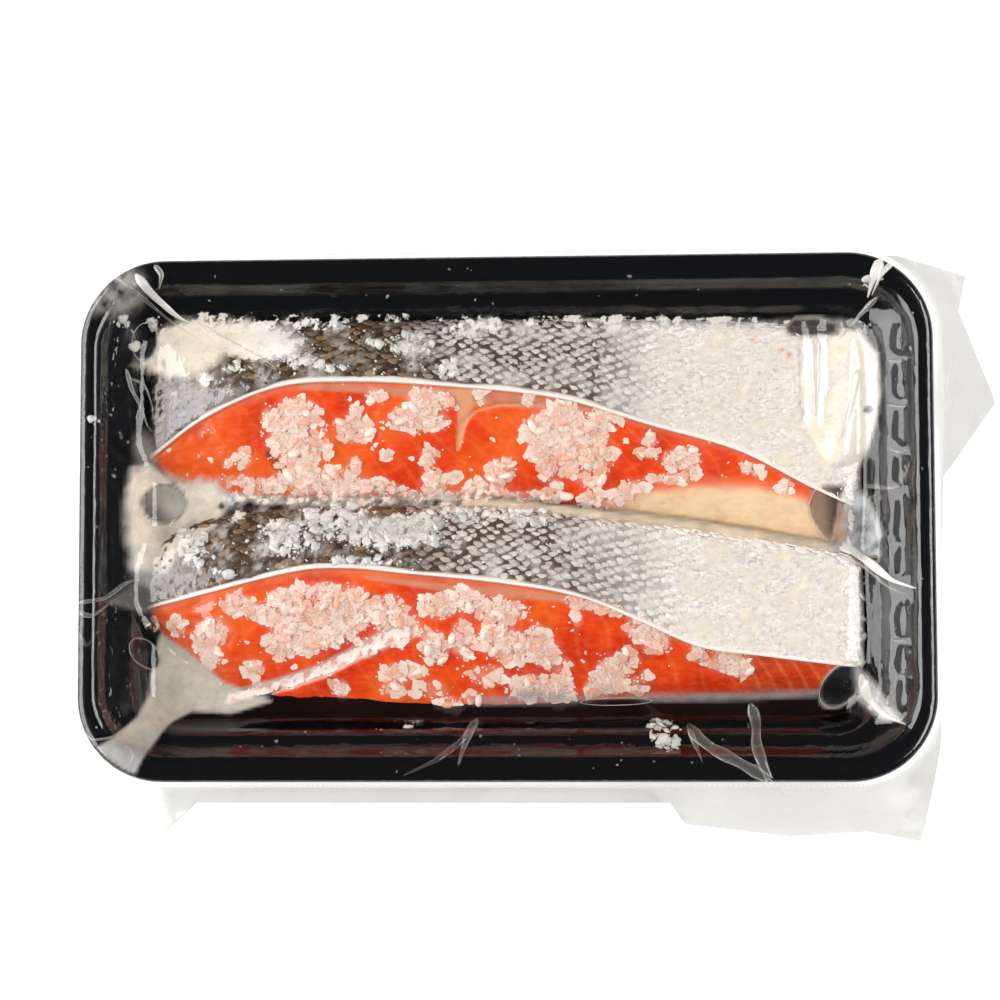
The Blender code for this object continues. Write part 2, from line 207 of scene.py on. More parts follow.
bpy.context.scene.view_settings.view_transform = "Standard"
bpy.context.scene.view_settings.look = "None"
bpy.context.scene.view_settings.exposure = 0.0
bpy.context.scene.view_settings.gamma = 1.0

lens = bpy.data.cameras.new("camera")
lens.lens = 95.776
lens.sensor_width = 36.0
lens.clip_start = 0.01
lens.clip_end = 100.0
camera = bpy.data.objects.new("camera", lens)
camera.location = (0.0413, -0.0443, 0.6699)
camera.rotation_euler = (math.radians(4.27), math.radians(3.72), math.radians(-0.13))
bpy.context.scene.collection.objects.link(camera)
bpy.context.scene.camera = camera

# ---- Tray: thermoformed from glossy black sheet. A rolled rim, a short wall, a sloping shoulder, then a
# ---- wall down to a flat floor. The shoulder is wider at the two ends than along the sides.

TRAY_LENGTH = 210.0
TRAY_WIDTH = 129.0
TRAY_CORNER = 21.0
TRAY_WALL = 0.8


def piece(name, points, faces, finish, nodes=(), smooth=True):
    """An object from points in millimetres, which rides on the pack and stands for CAD nodes."""
    mesh = bpy.data.meshes.new(name)
    mesh.from_pydata((np.asarray(points, float) * MM).tolist(), [], [tuple(map(int, f)) for f in faces])
    mesh.validate()
    mesh.materials.append(finish)
    mesh.polygons.foreach_set("use_smooth", [smooth] * len(mesh.polygons))
    made = bpy.data.objects.new(name, mesh)
    bpy.context.scene.collection.objects.link(made)
    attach(made, "root")
    if nodes:
        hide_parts(*nodes)
    return made


def give(made, name, values):
    """Stores a number or a colour at every point of a piece."""
    values = np.asarray(values, float)
    if values.ndim == 1:
        made.data.attributes.new(name, "FLOAT", "POINT").data.foreach_set("value", values)
        return
    full = np.ones((len(values), 4))
    full[:, :3] = values
    made.data.attributes.new(name, "FLOAT_COLOR", "POINT").data.foreach_set("color", full.ravel())


def reach(inset, angle):
    """Distance along a ray from the middle to the tray's rounded outline, moved in by inset."""
    half_x = TRAY_LENGTH / 2 - inset
    half_y = TRAY_WIDTH / 2 - inset
    radius = TRAY_CORNER - 0.75 * inset
    c = np.maximum(np.abs(np.cos(angle)), 1e-9)
    s = np.maximum(np.abs(np.sin(angle)), 1e-9)
    corner_x = half_x - radius
    corner_y = half_y - radius
    along = corner_x * c + corner_y * s
    bend = along + np.sqrt(np.maximum(0.0, along**2 - corner_x**2 - corner_y**2 + radius**2))
    straight = np.where(half_y * c <= corner_x * s, half_y / s, bend)
    return np.where(half_x * s <= corner_y * c, half_x / c, straight)


def rim_angles(count):
    """Directions from the middle that part the tray's outline into equal lengths."""
    fine = np.linspace(0.0, 2 * np.pi, 20001)
    r = reach(0.0, fine)
    x = r * np.cos(fine)
    y = r * np.sin(fine)
    run = np.concatenate([[0.0], np.cumsum(np.hypot(np.diff(x), np.diff(y)))])
    return np.interp(np.arange(count) * run[-1] / count, run, fine)


def eased(value, low, high):
    """0 below low, 1 above high, and a smooth step between."""
    t = np.clip((value - low) / (high - low), 0.0, 1.0)
    return t * t * (3.0 - 2.0 * t)


def endness(angle):
    """1 on rays to the tray's two ends, 0 on rays to its long sides."""
    x = np.abs(np.cos(angle)) * TRAY_WIDTH
    y = np.abs(np.sin(angle)) * TRAY_LENGTH
    return eased(x / (x + y), 0.4, 0.6)


def fine_profile(profile, step, passes):
    """A profile of (inset, z) parted into short, rounded steps."""
    profile = np.asarray(profile, float)
    run = np.concatenate([[0.0], np.cumsum(np.hypot(*np.diff(profile, axis=0).T))])
    at = np.linspace(0.0, run[-1], int(run[-1] / step) + 2)
    found = np.stack([np.interp(at, run, profile[:, k]) for k in range(2)], axis=1)
    for _ in range(passes):
        found[1:-1] = 0.25 * found[:-2] + 0.5 * found[1:-1] + 0.25 * found[2:]
    return found


def swept(ends, sides, angles):
    """Rings of points: one profile at the tray's ends, another along its sides."""
    w = endness(angles)
    found = []
    for (inset_a, z_a), (inset_b, z_b) in zip(ends, sides):
        inset = inset_a * w + inset_b * (1 - w)
        r = reach(inset, angles)
        found.append(np.stack([r * np.cos(angles), r * np.sin(angles), z_a * w + z_b * (1 - w)], axis=1))
    return np.array(found)


def paired(ends, sides, step, passes):
    """Two profiles parted into the same number of steps."""
    a = fine_profile(ends, step, passes)
    b = fine_profile(sides, step, passes)
    count = max(len(a), len(b))
    at = np.linspace(0.0, 1.0, count)
    resized = []
    for line in (a, b):
        own = np.linspace(0.0, 1.0, len(line))
        resized.append(np.stack([np.interp(at, own, line[:, k]) for k in range(2)], axis=1))
    return resized


def ring_faces(rings, count):
    """Quads between rings of points that are numbered one after another."""
    i = np.arange(count)
    j = (i + 1) % count
    found = []
    for k in range(rings - 1):
        low = k * count
        found.append(np.stack([low + i, low + count + i, low + count + j, low + j], axis=1))
    return [tuple(f) for f in np.concatenate(found)]


def tube_faces(rings, count):
    """Faces of a closed tube: a cap, the quads between its rings, and a cap."""
    faces = [tuple(range(count))] + ring_faces(rings, count)
    faces.append(tuple(reversed(range((rings - 1) * count, rings * count))))
    return faces


def shell(rings, thickness):
    """Points and faces of a bowl: its upper side as rings from the floor to the lip, and its lower side."""
    step = np.roll(rings, -1, axis=1) - np.roll(rings, 1, axis=1)
    climb = np.gradient(rings, axis=0)
    normal = np.cross(step, climb)
    normal /= np.maximum(np.linalg.norm(normal, axis=2, keepdims=True), 1e-9)
    lower = (rings + normal * thickness)[::-1]
    every = np.concatenate([rings, lower])
    return every.reshape(-1, 3), tube_faces(len(every), rings.shape[1])


TRAY_ENDS = [
    (17.8, 1.5), (15.9, 2.1), (15.0, 3.6), (13.4, 12.6), (12.4, 13.8), (6.6, 19.4), (6.0, 20.4),
    (5.4, 22.4), (4.6, 23.5), (3.6, 24.0), (1.9, 24.0), (0.7, 23.6), (0.1, 22.6), (0.0, 20.6),
]
TRAY_SIDES = [
    (17.8, 1.5), (15.9, 2.1), (15.0, 3.6), (13.0, 13.6), (12.2, 15.3), (8.6, 17.4), (7.6, 19.0),
    (6.8, 22.3), (6.0, 23.5), (4.8, 24.0), (1.9, 24.0), (0.7, 23.6), (0.1, 22.6), (0.0, 20.6),
]

paint = Paint("tray_black")
spread = paint.noise(paint.place(), 90.0, 4.0)
colour = paint.blend(spread, rgba(8, 9, 12), rgba(13, 14, 17))
gloss = paint.ramp(paint.noise(paint.place(), 420.0), 0.3, 0.7, 0.16, 0.26)
pits = paint.bump(paint.noise(paint.place(), 900.0, 2.0), 0.12, 0.0002)
tray_paint = paint.done(
    paint.shader(base_color=colour, roughness=gloss, specular_ior_level=0.2, normal=pits)
)

tray_lines = paired(TRAY_ENDS, TRAY_SIDES, step=0.55, passes=1)
tray_rings = swept(*tray_lines, rim_angles(360))
tray_points, tray_faces = shell(tray_rings, TRAY_WALL)
tray = piece("tray_moulding", tray_points, tray_faces, tray_paint, ["tray"])

# ---- Slices: raw salmon, cut slantwise from the fillet. Each leans back, cut face to the front and skin
# ---- to the back, with a ridge between. Fat lines part its muscle, and pale belly lining shows at one end.

SLICE_BASE = 3.2
SKIN = 1.2
END_LEAN = 0.2
END_TOP = 11.0


def through(points):
    """A smooth curve through a few (x, value) points, level past both ends, for arrays of x."""
    xs, vs = np.array(points).T
    slopes = np.empty(len(xs))
    for i in range(len(xs)):
        a = max(i - 1, 0)
        b = min(i + 1, len(xs) - 1)
        slopes[i] = (vs[b] - vs[a]) / (xs[b] - xs[a])

    def value(x):
        x = np.clip(x, xs[0], xs[-1])
        i = np.clip(np.searchsorted(xs, x) - 1, 0, len(xs) - 2)
        step = xs[i + 1] - xs[i]
        t = (x - xs[i]) / step
        start = vs[i] * (1 + 2 * t) + slopes[i] * step * t
        end = vs[i + 1] * (3 - 2 * t) - slopes[i + 1] * step * (1 - t)
        return start * (1 - t) ** 2 + end * t * t

    return value


BACK_SLICE = {
    "ends": (-90.3, 88.6),
    "round": 6.0,
    "ridge_y": through(
        [(-90.3, 15.0), (-75.7, 25.0), (-56.5, 32.6), (-37.8, 33.8), (-13.0, 32.3), (14.1, 29.1)]
        + [(36.0, 22.7), (58.0, 16.4), (75.3, 7.7), (88.6, 1.6)]
    ),
    "ridge_z": through(
        [(-90.3, 11.5), (-70.0, 17.0), (-45.0, 19.6), (15.0, 19.6), (50.0, 15.6), (88.6, 10.2)]
    ),
    "back_y": through([(-90.3, 45.0), (-84.0, 48.7), (-70.0, 50.4), (40.0, 50.4), (88.6, 47.8)]),
    "back_z": through([(-90.3, 10.0), (-40.0, 10.9), (88.6, 10.4)]),
    "front_y": through(
        [(-90.3, 13.0), (-79.7, 7.6), (-67.1, 6.2), (-51.0, 5.3), (-1.3, 5.0), (23.5, 2.3), (48.1, -0.8)]
        + [(80.0, -6.3), (88.6, -8.9)]
    ),
    "front_z": through([(-90.3, 8.6), (-40.0, 8.6), (40.0, 8.4), (88.6, 8.0)]),
}
FRONT_SLICE = {
    "ends": (-90.4, 88.6),
    "round": 6.0,
    "ridge_y": through(
        [(-90.4, -21.8), (-75.4, -18.5), (-50.1, -12.8), (-37.7, -12.4), (-25.3, -13.6), (-0.8, -16.2)]
        + [(18.7, -19.7), (33.3, -25.6), (47.9, -31.8), (62.5, -33.9), (88.6, -37.0)]
    ),
    "ridge_z": through(
        [(-90.4, 12.2), (-70.0, 17.4), (-45.0, 19.6), (15.0, 19.6), (50.0, 16.2), (88.6, 11.4)]
    ),
    "back_y": through(
        [(-90.4, -11.0), (-86.0, -4.5), (-76.4, 0.5), (-51.2, 3.9), (-1.3, 3.7), (23.5, 1.0), (48.1, -2.1)]
        + [(80.0, -7.5), (88.6, -10.2)]
    ),
    "back_z": through([(-90.4, 11.2), (-50.0, 12.2), (88.6, 11.0)]),
    "front_y": through(
        [(-90.4, -25.6), (-86.0, -31.0), (-79.6, -36.9), (-67.1, -44.6), (-39.4, -47.2), (-6.8, -48.2)]
        + [(23.1, -46.1), (47.9, -45.1), (88.6, -43.8)]
    ),
    "front_z": through([(-90.4, 7.6), (-40.0, 6.6), (40.0, 6.6), (88.6, 7.0)]),
}
RIDGE = 7
SKIN_END = 12


def sections(spec, x):
    """Outlines of a slice's flesh at each x: front foot, cut face, ridge, skin side, back foot."""
    front_y = spec["front_y"](x)
    front_z = spec["front_z"](x)
    ridge_y = spec["ridge_y"](x)
    ridge_z = spec["ridge_z"](x)
    back_y = spec["back_y"](x) - SKIN - 0.3
    back_z = spec["back_z"](x)
    start, end = spec["ends"]
    near = np.minimum(1.0, np.minimum(x - start, end - x) / spec["round"])
    full = np.sqrt(np.maximum(0.0, 1.0 - (1.0 - near) ** 2))
    base = SLICE_BASE + 0.0 * x
    rows = [(front_y + 2.0, base), (front_y + 0.2, base + 1.2)]
    rows.append((front_y, base + 0.6 * (front_z - base)))
    rows.append((front_y + 1.2, front_z))
    for t, bulge in ((0.22, 0.9), (0.48, 1.2), (0.76, 0.8)):
        face_z = front_z + (ridge_z - front_z) * t + bulge
        rows.append((front_y + 1.2 + (ridge_y - front_y - 1.2) * t, face_z))
    rows.append((ridge_y, ridge_z))
    for t, bulge in ((0.3, 0.9), (0.65, 1.0)):
        rows.append((ridge_y + (back_y - 1.0 - ridge_y) * t, ridge_z + (back_z - ridge_z) * t + bulge))
    rows.append((back_y - 0.3, back_z))
    rows.append((back_y - 0.7, base + 0.62 * (back_z - base)))
    rows.append((back_y - 1.5, base + 0.25 * (back_z - base)))
    rows.append((back_y - 3.4, base))
    found = np.array(rows).transpose(2, 0, 1)
    middle = ((front_y + back_y) / 2)[:, None]
    found[:, :, 0] = middle + (found[:, :, 0] - middle) * (0.9 + 0.1 * full)[:, None]
    found[:, :, 1] = SLICE_BASE + (found[:, :, 1] - SLICE_BASE) * (0.55 + 0.45 * full)[:, None]
    return found


def resampled(lines, count):
    """Each line of (y, z) parted into count points at equal distances."""
    found = np.empty((len(lines), count, 2))
    for k, line in enumerate(lines):
        run = np.concatenate([[0.0], np.cumsum(np.hypot(*np.diff(line, axis=0).T))])
        at = np.linspace(0.0, run[-1], count)
        found[k, :, 0] = np.interp(at, run, line[:, 0])
        found[k, :, 1] = np.interp(at, run, line[:, 1])
    return found


def softened(lines, times):
    """Each line with its corners rounded a little more at every pass; its ends stay."""
    for _ in range(times):
        lines[:, 1:-1] = 0.25 * lines[:, :-2] + 0.5 * lines[:, 1:-1] + 0.25 * lines[:, 2:]
    return lines


def moved_out(lines, amount):
    """Lines in the YZ plane moved to their left side, which is outward for a slice."""
    along = np.gradient(lines, axis=1)
    along /= np.maximum(np.linalg.norm(along, axis=2, keepdims=True), 1e-9)
    return lines + np.stack([-along[:, :, 1], along[:, :, 0]], axis=2) * amount


def stations(spec, step):
    """Places along X, close together where the ends round off."""
    start, end = spec["ends"]
    turn = spec["round"] * (1 - np.cos(np.linspace(0.0, np.pi / 2, 14)[:-1]))
    middle = np.arange(start + spec["round"], end - spec["round"], step)
    return np.concatenate([start + turn, middle, (end - turn)[::-1]])


def placed(spec, x, lines):
    """(x, y, z) of lines at stations, with the slice's ends leaning in below a height."""
    start, end = spec["ends"]
    near = np.minimum(1.0, np.minimum(x - start, end - x) / spec["round"])
    lean = np.where(x < 0.0, 1.0, -1.0) * END_LEAN * (1.0 - near)
    across = x[:, None] + lean[:, None] * (END_TOP - lines[:, :, 1])
    return np.concatenate([across[:, :, None], lines], axis=2)


def rough(points, scale, seed, depth=3):
    """Smooth noise, about -1 to 1, at each point."""
    shift = Vector((17.3 * seed, 5.1 * seed, 9.7 * seed))
    return np.array([noise.fractal(Vector(p) * scale + shift, 1.0, 2.0, depth) for p in points])


def beside(x, y, line, width):
    """1 on a line of (x, y) points and 0 from width away; width may be one number or one per point."""
    best = np.full(np.shape(x), 1e9)
    widths = np.full(len(line), width, float) if np.isscalar(width) else np.asarray(width, float)
    for k in range(len(line) - 1):
        (ax, ay), (bx, by) = line[k], line[k + 1]
        ex = bx - ax
        ey = by - ay
        t = np.clip(((x - ax) * ex + (y - ay) * ey) / (ex * ex + ey * ey), 0.0, 1.0)
        away = np.hypot(x - ax - t * ex, y - ay - t * ey) / (widths[k] * (1 - t) + widths[k + 1] * t)
        best = np.minimum(best, away)
    return 1.0 - eased(best, 0.35, 1.0)


def mixed(first, second, share):
    """Colours from first to second, by share at each point."""
    return first * (1 - share)[:, None] + np.asarray(second) * share[:, None]


def washed(colours, washes):
    """Colours with washes laid over them in turn, each a tint and its share at every point."""
    for tint, share in washes:
        colours = mixed(colours, rgb(*tint), np.ravel(share))
    return colours


FAT_BACK = [
    (-50.5, 33.0), (-38.0, 32.4), (-25.5, 31.4), (-12.5, 30.2), (-1.0, 29.3), (14.0, 27.8), (24.0, 26.3),
]
FAT_FRONT = [(-34.0, -14.4), (-22.0, -16.0), (-12.0, -17.4), (0.0, -18.3), (14.0, -19.8), (22.0, -22.0)]
LOBE_BACK = [(-11.6, 17.5), (-11.0, 20.5), (-9.8, 24.0), (-7.0, 26.6), (-1.0, 28.0), (9.0, 28.0)]
WEDGE_BACK = [(-9.4, 31.0), (-9.6, 27.0), (-10.6, 23.0), (-11.6, 17.5)]
BLOOD_BACK = [(-59.3, 17.0), (-57.2, 14.4), (-55.4, 11.2)]
LINING_BACK = through(
    [(15.0, 3.0), (21.0, 5.6), (33.5, 7.6), (48.0, 8.8), (63.0, 8.4), (73.0, 5.6), (80.0, 1.0)]
)
CREASE_FRONT = [
    (-71.0, -45.2), (-69.0, -44.0), (-61.5, -41.8), (-54.0, -39.8), (-46.5, -37.4), (-38.5, -33.6),
    (-31.0, -29.8), (-23.0, -27.0),
]


def flesh(name, spec, node, seed):
    """A slice's flesh, finely lofted, with the height of its cut face and its colours varied."""
    x = stations(spec, 0.55)
    lines = sections(spec, x)
    face = resampled(lines[:, : RIDGE + 1], 92)
    rest = resampled(lines[:, RIDGE:], 26)
    outline = softened(np.concatenate([face, rest[:, 1:]], axis=1), 4)
    points = placed(spec, x, outline)
    flat = points.reshape(-1, 3)
    lumps = rough(flat, 0.12, seed) * 0.5 + rough(flat, 0.5, seed + 1, 2) * 0.16
    count = outline.shape[1]
    order = np.tile(np.arange(count), len(x))
    top = eased(order, 12, 20) * (1 - eased(order, 84, 92))
    flat[:, 2] += lumps * top
    px = flat[:, 0]
    py = flat[:, 1]
    base = np.tile(rgb(229, 68, 10), (len(flat), 1))
    blotch = rough(flat, 0.07, seed + 2)
    band = np.sin(0.9 * px + 0.5 * py + 2.2 * np.sin(0.16 * py + seed) + 1.5 * blotch)
    washes = [
        ((208, 50, 6), eased(blotch, -0.1, 0.5)),
        ((232, 92, 20), eased(-blotch, 0.05, 0.5)),
        ((246, 130, 74), eased(band, 0.86, 1.0) * 0.22),
        ((236, 150, 110), eased(order, 84, 92) * 0.5),
        ((236, 98, 30), (1.0 - eased(px, -86.0, -52.0)) * 0.75),
        # painted shade: the flesh darkens to deep red low down, towards the tray floor
        ((96, 24, 8), 1.0 - eased(flat[:, 2], 4.5, 8.0)),
    ]
    if spec is BACK_SLICE:
        strip = beside(px, py, FAT_BACK, [0.9, 1.2, 1.6, 2.8, 2.6, 1.5, 0.5])
        wedge = beside(px, py, WEDGE_BACK, [4.4, 2.6, 1.4, 0.5])
        below_line = LINING_BACK(px) - py
        lining = eased(px, 17.0, 30.0) * (1 - eased(px, 78.0, 86.0))
        washes += [
            ((204, 138, 108), strip * 0.92),
            ((222, 164, 122), wedge * 0.9),
            ((236, 186, 136), beside(px, py, LOBE_BACK, 0.45) * 0.6),
            ((96, 22, 8), beside(px, py, BLOOD_BACK, [1.0, 1.7, 1.2]) * 0.75),
            ((238, 122, 84), eased(below_line, -2.6, 0.4) * lining * 0.85),
            ((233, 204, 164), eased(below_line, -0.4, 2.4) * lining),
            ((150, 112, 88), eased(px + 0.5 * py, 76.0, 84.0)),
        ]
        flat[:, 2] -= 0.5 * beside(px, py, LOBE_BACK, 0.8)
    else:
        strip = beside(px, py, FAT_FRONT, [0.6, 1.1, 1.5, 1.8, 1.3, 0.5])
        far = eased(px, 56.0, 62.0)
        slant = np.abs((px + 0.62 * py + 0.02 * (py + 38.0) ** 2) % 3.9 - 1.95)
        septa = (1 - eased(slant, 0.1, 0.62)) * far * eased(py, -45.0, -42.0)
        washes += [
            ((206, 142, 112), strip * 0.85),
            ((248, 220, 206), beside(px, py, CREASE_FRONT, 2.3) * 0.92),
            ((190, 58, 20), far * 0.75),
            ((232, 122, 78), septa * 0.6),
        ]
        flat[:, 2] -= 0.9 * beside(px, py, CREASE_FRONT, 2.2)
    made = piece(name, flat, tube_faces(len(x), count), flesh_paint, [node])
    give(made, "tone", washed(base, washes))
    return made


paint = Paint("salmon_flesh")
tone = paint.point_colour("tone")
fibre = paint.noise(paint.stretched(1.0, 2.4, 1.0), 420.0, 3.0)
mottle = paint.noise(paint.place(), 160.0, 2.0)
colour = paint.blend(paint.ramp(fibre, 0.42, 0.75, 0.0, 0.16), tone, rgba(250, 150, 96))
colour = paint.blend(paint.ramp(mottle, 0.5, 0.75, 0.0, 0.28), colour, rgba(196, 40, 6))
relief = paint.bump(fibre * 0.6 + mottle, 0.35, 0.0004)
flesh_paint = paint.done(
    paint.shader(
        base_color=colour,
        roughness=0.34,
        ior=1.4,
        subsurface_weight=0.25,
        subsurface_radius=(1.0, 0.28, 0.1),
        subsurface_scale=0.0022,
        normal=relief,
    )
)
back_flesh = flesh("back_slice_flesh", BACK_SLICE, "back_flesh", 3)
front_flesh = flesh("front_slice_flesh", FRONT_SLICE, "front_flesh", 8)

# ---- Skins: each slice keeps its skin, dark brown along the back of the fish, then silver, then white to
# ---- the belly. Its scales overlap like tiles in staggered rows, each a thin lens with a raised free edge.

SCALE_PITCH = 3.7
SCALE_ROW = 1.24
SCALE_ROWS = 40
CUT_EDGE = 1.05


def skin_zones(x, away, wobble):
    """Shares of brown and white at x, away millimetres from the ridge; what is left is silver."""
    t = x + 9.0 * wobble + 0.25 * away
    brown = 1.0 - eased(t, -26.0, -4.0)
    white = eased(t, 20.0, 52.0)
    return brown, white


def skin(name, spec, node, seed):
    """A skin with its thickness, and the lines of its outer side for its scales."""
    x = stations(spec, 0.8)
    lines = sections(spec, x)[:, RIDGE : SKIN_END + 1]
    lines = softened(resampled(lines, 60), 3)
    outer = moved_out(lines, SKIN + 0.1)
    inner = moved_out(lines, 0.05)[:, ::-1]
    loop = np.concatenate([outer, inner], axis=1)
    points = placed(spec, x, loop)
    flat = points.reshape(-1, 3)
    count = loop.shape[1]
    order = np.tile(np.arange(count), len(x))
    wobble = rough(flat, 0.06, seed)
    flat[:, 2] += np.where(order < 60, 0.12, 0.0) * rough(flat, 0.25, seed + 1)
    away = np.clip(order, 0, 59) * 0.4
    brown, white = skin_zones(flat[:, 0], away, wobble)
    base = np.tile(rgb(88, 68, 59), (len(flat), 1))
    outer_run = np.linalg.norm(np.diff(outer, axis=1), axis=2).cumsum(axis=1)
    from_edge = np.concatenate([np.zeros((len(x), 1)), outer_run, np.zeros((len(x), 60))], axis=1).ravel()
    cut = 1.0 - eased(from_edge + 0.6 * wobble, CUT_EDGE * 0.6, CUT_EDGE * 1.2)
    washes = [
        ((56, 42, 33), brown),
        ((240, 233, 225), white),
        ((240, 226, 216), cut),
        # painted shade: the skin's right end, lit head-on by the right softbox, is greyed to damp that
        # light
        ((150, 142, 134), eased(flat[:, 0], 86.4, 88.2)),
    ]
    made = piece(name, flat, tube_faces(len(x), count), skin_paint, [node])
    give(made, "tone", washed(base, washes))
    return x, placed(spec, x, outer)


def scales(name, spec, x, surface, seed):
    """One mesh of scales laid on a skin in staggered rows."""
    draw = random.Random(seed)
    around = 12
    turn = np.arange(around) * 2 * np.pi / around
    rim = np.stack([np.cos(turn), np.sin(turn) * np.abs(np.sin(turn)) ** 0.35], axis=1)
    rim[:, 1] += 0.25 * (1.0 - rim[:, 0] ** 2)
    model = np.concatenate([[[0.0, 0.0]], rim * 0.62, rim, rim * 0.97])
    ring_of = np.array([0] + [1] * around + [2] * around + [3] * around)
    faces = []
    for i in range(around):
        j = (i + 1) % around
        faces.append((0, 1 + i, 1 + j))
        faces.append((1 + i, 1 + around + i, 1 + around + j, 1 + j))
        faces.append((1 + around + i, 1 + 2 * around + i, 1 + 2 * around + j, 1 + around + j))
    points = []
    tones = []
    every = []
    for row in range(SCALE_ROWS):
        shift = 0.5 * SCALE_PITCH * (row % 2)
        for column in range(int((spec["ends"][1] - spec["ends"][0]) / SCALE_PITCH)):
            at = spec["ends"][0] + 2.2 + shift + column * SCALE_PITCH + draw.uniform(-0.38, 0.38)
            k = int(np.clip(np.searchsorted(x, at), 1, len(x) - 2))
            line = surface[k]
            run = np.concatenate([[0.0], np.cumsum(np.linalg.norm(np.diff(line, axis=0), axis=1))])
            away = CUT_EDGE + 1.0 + row * SCALE_ROW + draw.uniform(-0.2, 0.2)
            if away > run[-1] - 1.0 or at > spec["ends"][1] - 2.6:
                continue
            i = int(np.clip(np.searchsorted(run, away), 1, len(run) - 2))
            share = (away - run[i - 1]) / (run[i] - run[i - 1])
            spot = line[i - 1] * (1 - share) + line[i] * share
            down = line[i + 1] - line[i - 1]
            down /= np.linalg.norm(down)
            ahead = surface[k + 1][i] - surface[k - 1][i]
            ahead /= np.linalg.norm(ahead)
            normal = np.cross(ahead, down)
            normal /= np.linalg.norm(normal)
            if normal[2] < 0:
                normal = -normal
            lean = draw.uniform(-0.28, 0.28)
            free = ahead * -math.cos(lean) + down * math.sin(lean)
            side = np.cross(normal, free)
            wobble = noise.noise(Vector((at * 0.06, away * 0.11, seed)))
            brown, white = skin_zones(np.array([at]), np.array([away]), wobble)
            brown = float(brown[0])
            white = float(white[0])
            length = draw.uniform(1.5, 2.05) * (1.0 + 0.15 * brown)
            width = draw.uniform(0.66, 0.92) * (1.0 + 0.4 * white + 0.1 * brown)
            lift = (0.22 - 0.14 * white) * draw.uniform(0.7, 1.3)
            a = model[:, 0] * length
            b = model[:, 1] * width
            up = 0.1 + lift * model[:, 0] - 0.12 * model[:, 1] ** 2 - np.where(ring_of == 3, 0.3, 0.0)
            points.append(spot + a[:, None] * free + b[:, None] * side + up[:, None] * normal)
            every += [tuple(v + len(points) * len(model) - len(model) for v in f) for f in faces]
            light = draw.uniform(-1.0, 1.0) + 0.8 * noise.noise(Vector((at * 0.35, away * 0.4, seed + 3.0)))
            dull = np.array(rgb(124 + 36 * light, 98 + 33 * light, 74 + 28 * light))
            silver = np.array(rgb(222 + 15 * light, 213 + 16 * light, 205 + 17 * light))
            pale = np.array(rgb(250 + 3 * light, 243 + 5 * light, 234 + 7 * light))
            body = dull * brown + pale * white + silver * max(0.0, 1.0 - brown - white)
            shade = np.array(rgb(50, 37, 28)) * brown + np.array(rgb(234, 226, 217)) * white
            shade = shade + np.array(rgb(82, 62, 53)) * max(0.0, 1.0 - brown - white)
            if draw.random() < 0.3 * brown:
                body = body * 0.6
            lip = ((ring_of == 2) & (model[:, 0] > 0.2))[:, None]
            colours = np.where((ring_of == 3)[:, None], shade, body)
            colours = np.where(lip, body * 1.18 * 0.45 + shade * 0.55, colours)
            buried = eased(-model[:, 0], 0.2, 0.75)[:, None]
            colours = colours * (1 - 0.75 * buried) + shade * 0.75 * buried
            tones.append(colours)
    made = piece(name, np.concatenate(points), every, scale_paint, ())
    give(made, "tone", np.clip(np.concatenate(tones), 0.0, 1.0))
    return made


paint = Paint("salmon_skin")
tone = paint.point_colour("tone")
streak = paint.noise(paint.stretched(0.35, 1.0, 1.0), 900.0, 3.0)
relief = paint.bump(streak, 0.3, 0.0003)
skin_paint = paint.done(paint.shader(base_color=tone, roughness=0.42, normal=relief))

paint = Paint("salmon_scales")
tone = paint.point_colour("tone")
ridges = paint.noise(paint.stretched(0.5, 1.0, 1.0), 1500.0, 2.0)
colour = paint.blend(paint.ramp(ridges, 0.35, 0.65, 0.0, 0.3), tone, rgba(120, 108, 98), "MULTIPLY")
relief = paint.bump(ridges, 0.25, 0.0002)
scale_paint = paint.done(paint.shader(base_color=colour, roughness=0.3, normal=relief))

back_x, back_outer = skin("back_slice_skin", BACK_SLICE, "back_skin", 21)
front_x, front_outer = skin("front_slice_skin", FRONT_SLICE, "front_skin", 34)
back_scales = scales("back_slice_scales", BACK_SLICE, back_x, back_outer, 5)
front_scales = scales("front_slice_scales", FRONT_SLICE, front_x, front_outer, 6)

# ---- Koji: soft rice grains and their crumbs, pressed on the fish by the film. On the cut faces they lie
# ---- as angular flakes in tight clusters, and on the skins and the tray's wall as fluffy white clumps.

